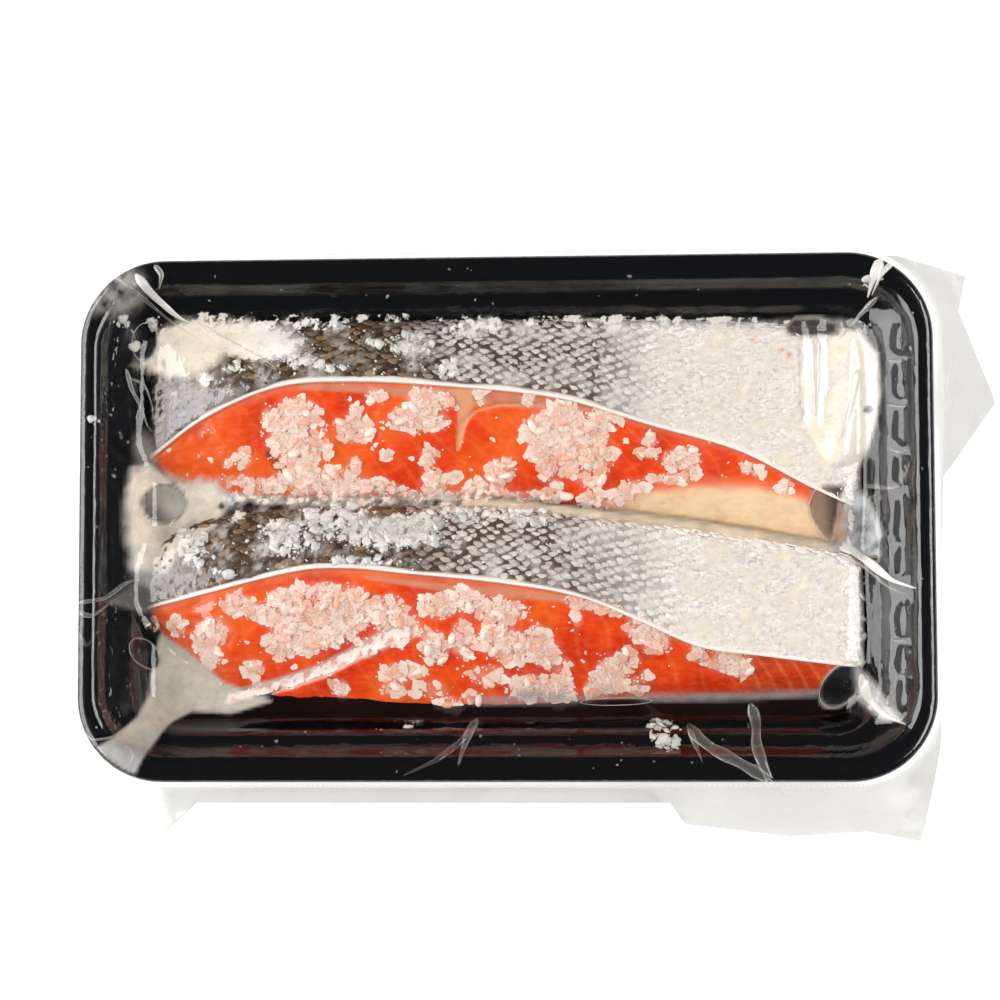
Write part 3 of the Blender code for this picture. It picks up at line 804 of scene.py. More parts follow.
KOJI_BACK = [
    (-52.5, 22.0, 6.5, 7.5, 1.0), (-50.5, 27.5, 4.5, 2.5, 0.8), (-58.5, 25.0, 2.0, 3.0, 0.7),
    (-50.0, 16.5, 4.0, 3.5, 1.0), (-37.5, 22.5, 4.0, 3.0, 1.0), (-37.0, 26.0, 1.5, 2.5, 1.0),
    (-44.5, 18.0, 1.0, 2.0, 1.0), (-31.5, 30.5, 2.5, 1.5, 0.9), (-21.0, 24.5, 7.5, 2.5, 1.0),
    (-18.5, 29.0, 5.5, 3.0, 1.0), (-24.5, 26.0, 3.5, 2.0, 1.0), (-5.5, 30.0, 1.0, 2.0, 1.0),
    (6.5, 29.0, 1.0, 1.5, 1.0), (-69.5, 14.5, 1.0, 1.0, 1.0), (-65.5, 15.5, 2.5, 2.0, 0.5),
    (-68.0, 10.5, 4.5, 1.0, 0.8), (-61.5, 9.0, 5.0, 2.0, 0.9), (-51.5, 10.5, 7.5, 2.5, 1.0),
    (-42.5, 11.0, 4.0, 2.5, 0.8), (-37.5, 13.5, 1.5, 2.0, 1.0), (-33.5, 8.5, 7.0, 2.0, 0.9),
    (-29.0, 16.0, 1.0, 1.0, 1.0), (-19.0, 15.5, 1.5, 2.5, 0.9), (-18.0, 10.0, 3.0, 2.5, 1.0),
    (-13.5, 10.5, 2.0, 1.5, 0.8), (-5.5, 7.0, 5.0, 3.0, 1.0), (-1.5, 12.0, 3.5, 2.5, 0.9),
    (0.5, 13.0, 1.5, 2.5, 0.8), (8.5, 21.5, 3.5, 4.0, 0.9), (10.0, 17.0, 4.0, 3.5, 0.9),
    (14.0, 22.5, 6.0, 5.0, 1.1), (18.0, 19.5, 7.0, 6.0, 1.1), (22.5, 16.0, 4.5, 4.5, 0.7),
    (14.0, 25.5, 5.0, 2.5, 1.0), (23.5, 24.0, 3.5, 3.0, 0.8), (21.0, 10.5, 4.0, 2.5, 0.6),
    (16.0, 12.5, 3.0, 2.0, 0.5), (27.0, 25.0, 2.0, 1.5, 0.6), (10.5, 12.5, 2.0, 2.0, 1.0),
    (12.5, 8.5, 1.5, 1.5, 1.0), (15.5, 15.0, 2.0, 2.0, 1.0), (36.0, 19.0, 1.5, 1.5, 1.0),
    (35.5, 16.0, 2.0, 1.0, 1.0), (41.0, 14.5, 2.0, 2.0, 1.0), (44.5, 15.0, 3.5, 2.5, 1.0),
    (41.0, 10.0, 6.0, 1.0, 1.0), (46.0, 11.5, 2.0, 2.0, 0.8), (59.5, 12.0, 1.0, 1.0, 1.0),
    (62.5, 11.5, 1.5, 1.0, 1.0), (69.0, 7.5, 2.0, 2.0, 0.9), (32.0, 7.5, 3.5, 2.0, 0.9),
    (23.5, 5.0, 5.5, 2.0, 0.9), (-10.0, 22.0, 78.0, 14.0, 0.015), (-46.0, 7.0, 9.0, 1.3, 0.8),
    (-25.0, 6.6, 10.0, 1.2, 0.8), (-8.0, 6.6, 8.0, 1.3, 0.8), (6.0, 6.0, 9.0, 1.3, 0.8),
]
KOJI_FRONT = [
    (-88.5, -26.0, 1.5, 2.5, 1.0), (-82.0, -26.0, 2.0, 3.0, 0.7), (-75.0, -29.5, 3.0, 4.0, 1.0),
    (-72.0, -27.0, 3.0, 3.0, 0.9), (-73.5, -33.0, 2.5, 2.5, 0.9), (-65.5, -21.0, 4.5, 2.5, 0.8),
    (-62.0, -22.5, 3.0, 2.0, 0.9), (-77.0, -37.0, 3.5, 2.0, 0.8), (-63.0, -36.5, 2.5, 2.0, 0.9),
    (-54.5, -22.0, 5.0, 5.0, 1.0), (-51.0, -27.0, 7.5, 6.0, 1.1), (-43.5, -24.5, 7.5, 6.5, 1.1),
    (-38.0, -22.5, 5.0, 5.0, 1.0), (-29.5, -22.5, 5.5, 3.5, 0.9), (-27.0, -26.0, 5.0, 3.0, 0.9),
    (-45.5, -17.5, 7.5, 2.0, 0.8), (-56.0, -31.0, 3.5, 3.0, 0.9), (-25.5, -37.5, 6.0, 2.0, 0.9),
    (-17.5, -31.5, 3.5, 4.0, 0.9), (-16.0, -21.5, 5.0, 3.0, 0.9), (-9.5, -20.0, 4.0, 2.5, 0.9),
    (-10.5, -29.5, 3.0, 4.5, 0.9), (-1.0, -23.0, 6.0, 3.0, 0.9), (-1.0, -30.0, 5.5, 4.0, 0.9),
    (2.5, -32.5, 4.0, 3.0, 0.8), (8.0, -30.0, 3.0, 4.0, 0.9), (10.0, -33.5, 3.5, 3.0, 0.9),
    (7.0, -41.5, 6.5, 3.0, 1.0), (13.0, -42.0, 4.0, 3.5, 1.0), (-41.5, -41.5, 2.0, 2.0, 0.9),
    (-28.5, -41.5, 3.0, 2.0, 0.6), (-15.0, -45.0, 3.0, 1.5, 0.6), (-8.5, -44.0, 2.5, 1.5, 0.7),
    (-19.0, -42.0, 5.0, 2.0, 0.4), (-4.0, -38.5, 5.0, 2.5, 0.4), (20.5, -20.5, 5.5, 2.0, 0.8),
    (26.0, -21.5, 4.0, 2.0, 0.9), (33.5, -27.0, 3.5, 3.5, 0.9), (37.0, -30.0, 3.5, 3.5, 0.9),
    (39.5, -27.0, 2.0, 2.5, 0.8), (18.0, -25.0, 1.0, 1.5, 0.7), (26.0, -38.5, 4.5, 4.0, 0.9),
    (29.5, -35.0, 3.5, 2.5, 0.8), (23.0, -41.0, 3.5, 2.5, 0.9), (32.0, -41.0, 2.5, 2.0, 0.6),
    (47.0, -33.0, 1.5, 2.0, 1.0), (49.0, -35.0, 1.5, 1.0, 0.8), (55.0, -35.0, 4.5, 3.0, 1.0),
    (58.0, -37.0, 2.5, 2.0, 0.9), (34.5, -38.5, 1.0, 1.0, 0.7), (13.5, -36.0, 3.0, 2.0, 0.5),
    (-20.0, -32.0, 62.0, 14.0, 0.02),
]
CREASE_KOJI = [(x, y, 1.9, 1.5, 0.5) for x, y in CREASE_FRONT[1:]]
CREASE_KOJI += [(-42.5, -35.5, 2.4, 1.6, 0.5), (-34.8, -31.7, 2.8, 2.4, 0.9), (-27.0, -28.4, 3.0, 2.6, 0.9)]
CLUMPS_BACK = [
    (-71.0, 48.0, 5.5, 2.0, 0.9), (-61.5, 48.5, 4.5, 2.0, 0.9), (-55.5, 47.0, 3.0, 2.0, 0.9),
    (-50.5, 45.0, 1.5, 1.0, 1.0), (-50.5, 39.5, 5.5, 2.0, 0.9), (-74.5, 35.5, 2.0, 1.5, 1.0),
    (-73.0, 41.5, 2.0, 1.5, 0.7), (-66.0, 38.5, 3.5, 1.5, 0.7), (-49.0, 49.0, 8.5, 1.5, 0.9),
    (-32.0, 44.0, 2.5, 1.0, 1.1), (-23.0, 43.5, 6.0, 3.0, 0.9), (-13.5, 37.0, 3.0, 2.0, 1.0),
    (-8.5, 47.8, 6.5, 2.5, 0.85), (-3.0, 48.5, 2.5, 2.5, 0.9), (-12.0, 47.0, 2.0, 1.5, 1.0),
    (-43.0, 37.5, 3.5, 1.0, 0.5), (9.0, 49.0, 7.5, 1.0, 0.6), (23.5, 49.0, 7.5, 1.0, 0.6),
    (38.5, 48.6, 7.5, 1.0, 0.5), (53.5, 48.0, 7.5, 1.0, 0.5), (-20.0, 41.0, 60.0, 8.0, 0.05),
    (40.0, 36.0, 40.0, 12.0, 0.07),
]
CLUMPS_FRONT = [
    (-77.5, -7.0, 3.5, 5.0, 0.9), (-79.0, -3.5, 3.0, 2.0, 0.9), (-53.0, -4.5, 7.0, 4.5, 1.0),
    (-57.0, -2.5, 4.5, 2.5, 1.0), (-67.0, 1.5, 1.5, 1.5, 1.0), (-48.5, 2.0, 2.5, 2.0, 0.9),
    (-70.5, -13.0, 4.5, 1.0, 0.5), (-40.5, 1.0, 7.5, 4.0, 1.0), (-29.5, -4.0, 14.5, 3.5, 1.1),
    (-26.0, -2.0, 10.0, 3.0, 1.0), (-20.0, 0.0, 5.5, 2.5, 0.9), (-11.0, 2.0, 3.5, 2.0, 1.0),
    (2.5, 1.5, 10.5, 3.0, 0.8), (-15.0, 1.5, 1.0, 1.5, 1.0), (-33.0, -10.5, 12.0, 1.0, 0.6),
    (-20.0, -6.0, 60.0, 7.0, 0.05), (35.0, -14.0, 40.0, 10.0, 0.07),
]
CLUMPS_END = [
    (88.0, -13.5, 1.3, 2.6, 0.7), (88.8, -20.0, 1.6, 3.0, 0.7), (88.4, -27.0, 1.2, 3.2, 0.7),
    (87.5, -33.5, 1.4, 2.6, 0.7),
]
CLUMPS_WALL = [
    (-30.0, -48.4, 2.0, 1.2, 1.0), (-23.5, -49.6, 2.0, 1.8, 1.1), (39.0, -53.0, 3.5, 3.6, 1.1),
    (37.5, -50.2, 2.2, 2.0, 1.0), (58.0, -46.0, 2.0, 1.6, 1.0), (51.0, -46.0, 5.0, 1.2, 0.5),
    (-95.5, 50.0, 1.6, 1.4, 1.2), (-88.0, 50.5, 1.3, 1.6, 1.2), (-101.0, 24.6, 1.0, 1.0, 1.0),
    (90.5, 57.0, 2.0, 1.4, 0.8), (88.5, 44.0, 2.4, 4.0, 0.9), (-93.5, 44.0, 1.0, 1.0, 0.8),
]
SPECKS_WALL = [
    (-97.0, 0.0, 6.0, 48.0, 0.028), (-10.0, -56.5, 90.0, 5.0, 0.01), (-20.0, 56.5, 90.0, 4.0, 0.008),
    (98.0, 0.0, 5.0, 48.0, 0.012),
]


def models(kind, count, seed):
    """Shapes for one kind of koji piece, one unit long."""
    draw = random.Random(seed)
    found = []
    for _ in range(count):
        if kind == "flake":
            bpy.ops.mesh.primitive_cylinder_add(vertices=draw.choice((9, 11, 13)), radius=0.5, depth=0.06)
            bpy.ops.object.mode_set(mode="EDIT")
            bpy.ops.mesh.select_all(action="SELECT")
            bpy.ops.mesh.bevel(offset=0.025, segments=1)
            bpy.ops.object.mode_set(mode="OBJECT")
            plate = bpy.context.object
            points = np.array([v.co for v in plate.data.vertices])
            faces = [tuple(f.vertices) for f in plate.data.polygons]
            bpy.data.objects.remove(plate)
            turn = np.arctan2(points[:, 1], points[:, 0])
            ragged = draw.uniform(0.1, 0.3) * np.sin(2 * turn + draw.uniform(0, 6))
            ragged = ragged + draw.uniform(0.1, 0.24) * np.sin(3 * turn + draw.uniform(0, 6))
            ragged = ragged + draw.uniform(0.05, 0.14) * np.sin(7 * turn + draw.uniform(0, 6))
            points[:, :2] *= (1.0 + ragged)[:, None]
            tip = 0.06 * points[:, 0] * draw.uniform(-1, 1)
            points[:, 2] += tip + 0.07 * points[:, 1] * draw.uniform(-1, 1)
            found.append((points * (1.0, draw.uniform(0.6, 0.95), 1.0), faces))
            continue
        fineness = 1 if kind == "crumb" else 2
        bpy.ops.mesh.primitive_ico_sphere_add(subdivisions=fineness, radius=0.5)
        ball = bpy.context.object
        points = np.array([v.co for v in ball.data.vertices])
        faces = [tuple(f.vertices) for f in ball.data.polygons]
        bpy.data.objects.remove(ball)
        shift = Vector((draw.uniform(0, 99), draw.uniform(0, 99), draw.uniform(0, 99)))
        if kind == "grain":
            points *= (1.0, 0.62, 0.5)
            points[:, 1] += 0.08 * np.sin(points[:, 0] * 3.0)
        else:
            swell = np.array([noise.noise(Vector(p) * 2.6 + shift) for p in points])
            points *= (1.0 + 0.7 * swell)[:, None]
            points *= (1.0, 0.85, 0.34)
        found.append((points, faces))
    return found


class Heap:
    """Many small pieces joined in one mesh."""

    def __init__(self):
        self.points = []
        self.faces = []
        self.tones = []
        self.total = 0

    def add(self, model, spot, normal, size, tone, draw, tilt=0.3):
        points, faces = model
        turn = Euler((draw.uniform(-tilt, tilt), draw.uniform(-tilt, tilt), draw.uniform(0.0, 6.3)))
        frame_turn = normal.to_track_quat("Z", "Y").to_matrix() @ turn.to_matrix()
        stretch = np.array([1.0, draw.uniform(0.75, 1.1), draw.uniform(0.8, 1.2)])
        placed_points = (points * size * stretch) @ np.array(frame_turn).T + np.array(spot)
        self.points.append(placed_points)
        self.faces += [tuple(v + self.total for v in f) for f in faces]
        self.tones.append(np.tile(tone, (len(points), 1)))
        self.total += len(points)

    def build(self, name, finish, smooth=True):
        made = piece(name, np.concatenate(self.points), self.faces, finish, (), smooth)
        give(made, "tone", np.clip(np.concatenate(self.tones), 0.0, 1.0))
        return made


def cast_tree(objects):
    """What rays are cast against, in millimetres."""
    points = []
    faces = []
    for item in objects:
        base = len(points)
        points += [v.co / MM for v in item.data.vertices]
        faces += [[base + i for i in f.vertices] for f in item.data.polygons]
    return BVHTree.FromPolygons(points, faces)


def below(tree, x, y):
    return tree.ray_cast(Vector((x, y, 60.0)), Vector((0.0, 0.0, -1.0)))


FLAKES = models("flake", 22, 1)
LUMPS = models("lump", 8, 4)
CRUMBS = models("crumb", 6, 2)
GRAINS = models("grain", 4, 3)


def koji(name, target, clusters, tones, seed, fluffy, finish):
    """Two heaps, larger flakes and small crumbs, on one surface."""
    draw = random.Random(seed)
    tree = cast_tree(target)
    large = Heap()
    small = Heap()
    where = []
    for cx, cy, rx, ry, dense in clusters:
        area = math.pi * rx * ry
        thin = dense < 0.2
        for kind, per_area in (("large", 0.4 if fluffy else 0.62), ("small", 1.4 if fluffy else 1.3)):
            number = area * dense * per_area * (1.0 if not thin else 1.2)
            for _ in range(int(number) + (draw.random() < number % 1)):
                angle = draw.uniform(0.0, 2 * math.pi)
                r = math.sqrt(draw.random()) * (1.0 if kind == "large" else 1.18)
                if not thin:
                    outline = Vector((math.cos(angle) * 1.7, math.sin(angle) * 1.7, cx * 0.37 + cy))
                    r *= 1.0 + 0.3 * noise.noise(outline)
                x = cx + rx * r * math.cos(angle)
                y = cy + ry * r * math.sin(angle)
                spot, normal, _, _ = below(tree, x, y)
                if spot is None or spot.z < 3.0:
                    continue
                pile = max(0.0, 1.0 - r) * dense
                if kind == "large":
                    size = draw.uniform(1.4, 4.1) * (0.5 if thin else 1.0)
                    if fluffy:
                        model = draw.choice(LUMPS)
                        size = draw.uniform(1.4, 3.3) * (0.4 if thin else 1.0)
                    elif draw.random() < 0.05 and not thin:
                        model = draw.choice(GRAINS)
                        size = draw.uniform(2.8, 4.0)
                    else:
                        model = draw.choice(FLAKES)
                    lift = 0.03 * size + pile * draw.uniform(0.0, 0.4 if fluffy else 0.22)
                    heap = large
                else:
                    size = draw.uniform(0.3, 1.0)
                    model = draw.choice(CRUMBS)
                    lift = pile * draw.uniform(0.0, 0.5) + (0.05 if not fluffy else 0.15)
                    heap = small
                tone = np.array(rgb(*draw.choice(tones))) * draw.uniform(0.94, 1.05)
                heap.add(model, spot + normal * lift, normal, size, tone, draw, 0.5 if fluffy else 0.045)
                where.append((x, y, size, 0.3 if thin else 1.0))
    made = [large.build(name + "_flakes", finish, fluffy), small.build(name + "_crumbs", finish)]
    return made, where


def koji_finish(name, frosting, painted_glow=0.0):
    """Matt grain. A warm emission on it is painted light, standing in for the light that comes up through
    it from the flesh.
    """
    paint = Paint(name)
    tone = paint.point_colour("tone")
    cloud = paint.noise(paint.place(), 700.0, 2.0)
    colour = paint.blend(paint.ramp(cloud, 0.4, 0.75, 0.0, frosting), tone, rgba(255, 248, 238))
    relief = paint.bump(cloud, 0.3, 0.0003)
    settings = {"emission_color": (0.8, 0.2, 0.1, 1.0), "emission_strength": painted_glow}
    return paint.done(
        paint.shader(base_color=colour, roughness=0.6, specular_ior_level=0.25, normal=relief, **settings)
    )


# the koji on the flesh carries the painted warm emission
koji_paint = koji_finish("koji_on_flesh", 0.16, 0.06)
clump_paint = koji_finish("koji_on_skin", 0.3)
speck_paint = koji_finish("koji_specks", 0.05)
FLESH_TONES = [
    (230, 210, 195), (235, 219, 205), (228, 200, 183), (226, 184, 164), (224, 164, 138), (230, 205, 190),
]
SKIN_TONES = [(208, 205, 198), (215, 210, 201), (197, 197, 194), (213, 206, 193), (203, 202, 197)]
SPECK_TONES = [(92, 94, 95), (122, 121, 119), (150, 148, 144), (108, 108, 108)]
back_koji, back_spots = koji("back_koji", [back_flesh], KOJI_BACK, FLESH_TONES, 41, False, koji_paint)
on_front_flesh = KOJI_FRONT + CREASE_KOJI
front_koji, front_spots = koji(
    "front_koji", [front_flesh], on_front_flesh, FLESH_TONES, 42, False, koji_paint
)
back_clumps, clump_spots = koji(
    "back_clumps", [back_scales], CLUMPS_BACK, SKIN_TONES, 43, True, clump_paint
)
front_clumps, more_spots = koji(
    "front_clumps", [front_scales], CLUMPS_FRONT, SKIN_TONES, 44, True, clump_paint
)
front_skins = [front_scales, bpy.data.objects["front_slice_skin"], tray]
end_clumps, _ = koji("end_clumps", front_skins, CLUMPS_END, SKIN_TONES, 47, True, clump_paint)
wall_clumps, _ = koji("wall_clumps", [tray], CLUMPS_WALL, SKIN_TONES, 45, True, clump_paint)
koji("wall_specks", [tray], SPECKS_WALL, SPECK_TONES, 46, True, speck_paint)


def crowding(x, y, clusters):
    """How thickly koji lies at each place, 0 to 1."""
    found = np.zeros(np.shape(x))
    for cx, cy, rx, ry, dense in clusters:
        if dense > 0.2:
            away = np.sqrt(((x - cx) / (rx + 0.4)) ** 2 + ((y - cy) / (ry + 0.4)) ** 2)
            found = np.maximum(found, dense * (1 - eased(away, 0.55, 1.1)))
    return np.clip(found, 0.0, 1.0)


def bleach(made, clusters, share):
    """Flesh under a cluster is paler: a paste of crushed grain lies on it."""
    count = len(made.data.vertices)
    place = np.empty(count * 3)
    made.data.vertices.foreach_get("co", place)
    place = place.reshape(-1, 3) / MM
    store = made.data.attributes["tone"].data
    old = np.empty(count * 4)
    store.foreach_get("color", old)
    old = old.reshape(-1, 4)
    cluster = crowding(place[:, 0], place[:, 1], clusters) * (place[:, 2] > 6.0)
    patch = cluster * (0.75 + 0.5 * rough(place, 0.6, 61, 2))
    old[:, :3] = mixed(old[:, :3], rgb(243, 192, 170), np.clip(patch * share, 0.0, 1.0))
    store.foreach_set("color", old.ravel())


bleach(back_flesh, KOJI_BACK, 0.8)
bleach(front_flesh, on_front_flesh, 0.85)

# ---- Brine: milky koji liquor that has pooled round the slices and thickened to a paste in places. The
# ---- film presses it flat, so it lies as a layer just under the film, thick and thin, with bubbles in it.

CELL = 0.8
grid_x = np.arange(-105.6, 105.7, CELL)
grid_y = np.arange(-65.6, 65.7, CELL)
GX, GY = np.meshgrid(grid_x, grid_y, indexing="ij")
ANGLE = np.arctan2(GY, GX)


def insets(x, y):
    """How far inside the tray's outline each place is."""
    angle = np.arctan2(y, x)
    r = np.hypot(x, y)
    low = np.full(np.shape(x), -20.0)
    high = np.full(np.shape(x), 60.0)
    for _ in range(22):
        middle = (low + high) / 2
        inside = reach(middle, angle) > r
        low = np.where(inside, middle, low)
        high = np.where(inside, high, middle)
    return low


BRINE_LEVEL = 7.2
BRINE_FALL = 0.012
UNDER_FILM = 0.14
HUG = -1.3
INSET = insets(GX, GY)
FILM_ENDS = [
    (-1.3, 20.5), (-0.4, 22.8), (1.2, 24.5), (4.0, 24.6), (5.4, 23.2), (6.6, 20.8), (12.2, 15.2),
    (13.8, 12.6),
]
FILM_SIDES = [
    (-1.3, 20.5), (-0.4, 22.8), (1.2, 24.5), (5.2, 24.6), (6.9, 23.0), (8.0, 19.2), (12.4, 16.4),
    (13.7, 12.8),
]


def rim_level(inset, angle):
    """Height of the film over the tray's rim and shoulder."""
    w = endness(angle)
    ends = fine_profile(FILM_ENDS, 0.3, 6)
    sides = fine_profile(FILM_SIDES, 0.3, 6)
    a = np.interp(inset, ends[:, 0], ends[:, 1], right=-5.0)
    b = np.interp(inset, sides[:, 0], sides[:, 1], right=-5.0)
    return a * w + b * (1 - w)


def shifted(field, i, j, edge):
    """A field moved by whole cells, filled in at its edges."""
    found = np.full_like(field, edge)
    nx, ny = field.shape
    found[max(i, 0) : nx + min(i, 0), max(j, 0) : ny + min(j, 0)] = field[
        max(-i, 0) : nx + min(-i, 0), max(-j, 0) : ny + min(-j, 0)
    ]
    return found


def bridged(field, radius):
    """A field closed by a ball: hollows narrower than the ball are spanned, as drawn film spans them."""
    cells = int(radius / CELL)
    ball = []
    for i in range(-cells, cells + 1):
        for j in range(-cells, cells + 1):
            away = math.hypot(i, j) * CELL
            if away <= radius:
                ball.append((i, j, math.sqrt(radius**2 - away**2) - radius))
    grown = np.full_like(field, -99.0)
    for i, j, drop in ball:
        grown = np.maximum(grown, shifted(field, i, j, -99.0) + drop)
    found = np.full_like(field, 99.0)
    for i, j, drop in ball:
        found = np.minimum(found, shifted(grown, i, j, 99.0) - drop)
    return np.maximum(found, field)


def blurred(field, cells):
    """A field smoothed over a number of cells."""
    span = int(3 * cells) + 1
    weights = np.exp(-0.5 * (np.arange(-span, span + 1) / cells) ** 2)
    weights /= weights.sum()
    for axis in (0, 1):
        padded = np.pad(field, [(span, span) if a == axis else (0, 0) for a in (0, 1)], mode="edge")
        total = np.zeros_like(field)
        for k, w in enumerate(weights):
            part = padded[k : k + field.shape[0], :] if axis == 0 else padded[:, k : k + field.shape[1]]
            total += w * part
        field = total
    return field


def look(field, x, y):
    """A field's value at any place, from the four cells round it."""
    u = np.clip((x - grid_x[0]) / CELL, 0, len(grid_x) - 1.001)
    v = np.clip((y - grid_y[0]) / CELL, 0, len(grid_y) - 1.001)
    i = u.astype(int)
    j = v.astype(int)
    s = u - i
    t = v - j
    low = field[i, j] * (1 - s) + field[i + 1, j] * s
    high = field[i, j + 1] * (1 - s) + field[i + 1, j + 1] * s
    return low * (1 - t) + high * t


def oval(x, y, cx, cy, rx, ry, soft=0.5, turn=0.0):
    """1 inside an oval and 0 outside, with an edge soft millimetres wide."""
    c = math.cos(math.radians(turn))
    s = math.sin(math.radians(turn))
    u = (x - cx) * c + (y - cy) * s
    v = (y - cy) * c - (x - cx) * s
    away = (np.sqrt((u / rx) ** 2 + (v / ry) ** 2) - 1.0) * min(rx, ry)
    return 1.0 - eased(away, -soft / 2, soft / 2)


contents = [tray, back_flesh, front_flesh, back_scales, front_scales]
contents += [bpy.data.objects["back_slice_skin"], bpy.data.objects["front_slice_skin"]]
contents += back_koji + front_koji + back_clumps + front_clumps + end_clumps + wall_clumps
tree = cast_tree(contents)
TOP = np.full(GX.shape, 1.5)
for i in range(GX.shape[0]):
    for j in range(GX.shape[1]):
        if INSET[i, j] > 5.0:
            spot = below(tree, GX[i, j], GY[i, j])[0]
            if spot is not None:
                TOP[i, j] = spot.z

POOL = BRINE_LEVEL - BRINE_FALL * GX


def mottle_field(scale, level, depth):
    """Smooth noise at every place of the grid."""
    places = zip(GX.ravel(), GY.ravel())
    found = [noise.fractal(Vector((x * scale, y * scale, level)), 1.0, 2.0, depth) for x, y in places]
    return np.array(found).reshape(GX.shape)


CLOUD = mottle_field(0.16, 0.0, 4)
FINE = mottle_field(0.55, 7.0, 3)


def filled(x, y, outline, soft):
    """1 inside an outline of (x, y) points and 0 outside, with an edge soft millimetres wide."""
    crossings = np.zeros(np.shape(x), int)
    away = np.full(np.shape(x), 1e9)
    for k in range(len(outline)):
        (ax, ay), (bx, by) = outline[k], outline[(k + 1) % len(outline)]
        ex = bx - ax
        ey = by - ay
        t = np.clip(((x - ax) * ex + (y - ay) * ey) / (ex * ex + ey * ey), 0.0, 1.0)
        away = np.minimum(away, np.hypot(x - ax - t * ex, y - ay - t * ey))
        crossings += ((ay > y) != (by > y)) & (x < ax + ex * (y - ay) / (ey if ey else 1e-9))
    signed = np.where(crossings % 2 == 1, -away, away)
    return 1.0 - eased(signed, -soft / 2, soft / 2)


swell = 1.7 * beside(GX, GY, [(76.8, 46.0), (77.0, 34.0), (76.6, 23.0)], 3.0)
swell += 2.0 * beside(GX, GY, [(86.5, 45.0), (86.0, 34.0), (83.0, 17.0)], 4.6)
swell += 1.6 * oval(GX, GY, -80.0, 44.0, 9.0, 5.5, 5.0)
swell += 1.2 * oval(GX, GY, -62.0, 46.5, 12.0, 3.5, 4.0, -8.0)
covered = np.maximum(np.maximum(TOP, POOL), rim_level(INSET, ANGLE))
covered = np.where(INSET > 13.0, covered + swell, covered)
covered = np.maximum(covered, 0.0)
film_field = bridged(blurred(covered, 0.6) + 0.12, 4.6)
film_field = blurred(film_field, 0.7) + 0.18
film_field = np.maximum(film_field, blurred(np.maximum(TOP, POOL), 1.1) + 0.2)
film_field = film_field + 0.45 * oval(GX, GY, 82.2, -40.2, 3.6, 2.2, 2.0)
DENTS = [
    (97.0, 43.4, 1.3, 3.4), (97.2, 33.0, 1.4, 3.9), (97.2, 22.0, 1.4, 3.8), (97.0, 11.0, 1.3, 3.2),
    (97.2, -1.5, 1.3, 5.0), (97.2, -11.0, 1.2, 3.0), (97.0, -25.5, 1.2, 4.0), (97.0, -35.0, 1.1, 3.4),
    (97.0, -43.5, 1.2, 3.0),
]


def film_height(x, y):
    """Height of the film anywhere inside the rim."""
    angle = np.arctan2(y, x)
    inset = insets(x, y)
    level = rim_level(np.maximum(inset, HUG), angle)
    share = eased(inset, 6.0, 9.0)
    drawn = eased(inset, 2.0, 6.0) * (1 - eased(inset, 13.0, 16.0))
    height = level * (1 - share) + look(film_field, x, y) * share
    height = height + 0.2 * rough(np.stack([x, y, 0 * x], axis=1), 0.14, 5, 2) * drawn
    taut = eased(x, 84.0, 89.0) * (1 - eased(np.abs(y), 46.0, 54.0))
    line = np.interp(inset, [1.5, 4.2, 5.0, 11.2, 13.0, 15.5], [24.6, 24.4, 23.0, 18.2, 15.8, 14.2])
    for cx, cy, rx, ry in DENTS:
        line = line - 1.8 * np.exp(-(((x - cx) / rx) ** 2) - ((y - cy) / ry) ** 4)
    line = line + 0.25 * np.sin(y * 0.57 + 0.8) * np.exp(-(((inset - 8.0) / 3.0) ** 2))
    line = line + 0.3 * rough(np.stack([x, y, 0 * x + 9.0], axis=1), 0.3, 9, 2)
    keep = taut * eased(inset, 1.8, 3.2) * (1 - eased(inset, 14.5, 16.5))
    return height * (1 - keep) + np.maximum(line, height) * keep


def laid(*shares):
    """The greatest of several shares at every place."""
    return np.maximum.reduce(shares)


def scattered(spots, largest, weight):
    """How much koji lies in each cell."""
    found = np.zeros(GX.shape)
    for x, y, size, share in spots:
        i = int(round((x - grid_x[0]) / CELL))
        j = int(round((y - grid_y[0]) / CELL))
        found[i, j] += share * min(size, largest) ** 2 * weight
    return found


# Where the liquor shows, as outlines and lines: a pond at the left, the seam between the slices, paste at
# the right with patches of painted sheen that stand for crumpled film, and what has run out over the tray's
# shoulder at the lower left.
POND = [
    (-93.1, 13.2), (-89.3, 14.6), (-84.0, 10.8), (-72.4, 10.4), (-69.6, 6.2), (-72.0, -1.0),
    (-77.0, -4.6), (-81.6, -7.0), (-84.1, -13.2), (-89.1, -17.4), (-92.6, -14.9), (-93.8, -4.4),
    (-94.4, 5.7),
]
SEAM = [
    (-10.0, 4.4), (4.0, 3.6), (16.0, 2.0), (26.0, 0.9), (36.0, -0.2), (48.0, -1.7), (64.0, -4.4),
    (82.0, -7.4),
]
SEAM_LEFT = [(-69.0, 6.2), (-50.0, 5.1), (-25.0, 4.8), (-6.0, 4.4)]
TAIL_SKIN = [(-84.0, 19.0), (-84.5, 30.0), (-80.0, 33.0), (-63.0, 33.5), (-68.0, 26.0)]
LEFT_TIP = [(-98.0, -20.2), (-92.0, -14.6), (-84.0, -12.0), (-78.0, -14.0), (-80.0, -19.0), (-90.0, -22.5)]
PASTE = [
    (73.5, 46.0), (79.0, 45.4), (84.0, 47.0), (87.5, 46.0), (92.0, 40.0), (92.5, 30.0), (90.0, 18.0),
    (87.0, 12.0), (79.0, 13.0), (74.0, 22.0), (73.0, 34.0),
]
# The next two outlines are patches of painted sheen, silvery-white, that stand for the glints of crumpled
# film at the right.
SHEEN_PATCH = [
    (84.6, 6.0), (88.0, 7.0), (90.5, 2.0), (92.5, -4.0), (92.0, -9.5), (86.0, -9.6), (80.6, -7.4),
    (82.4, -1.0),
]
SHEEN_PATCH_LOW = [(86.0, -36.4), (89.0, -39.0), (93.5, -46.0), (96.4, -49.8), (91.4, -49.5), (87.0, -45.0)]
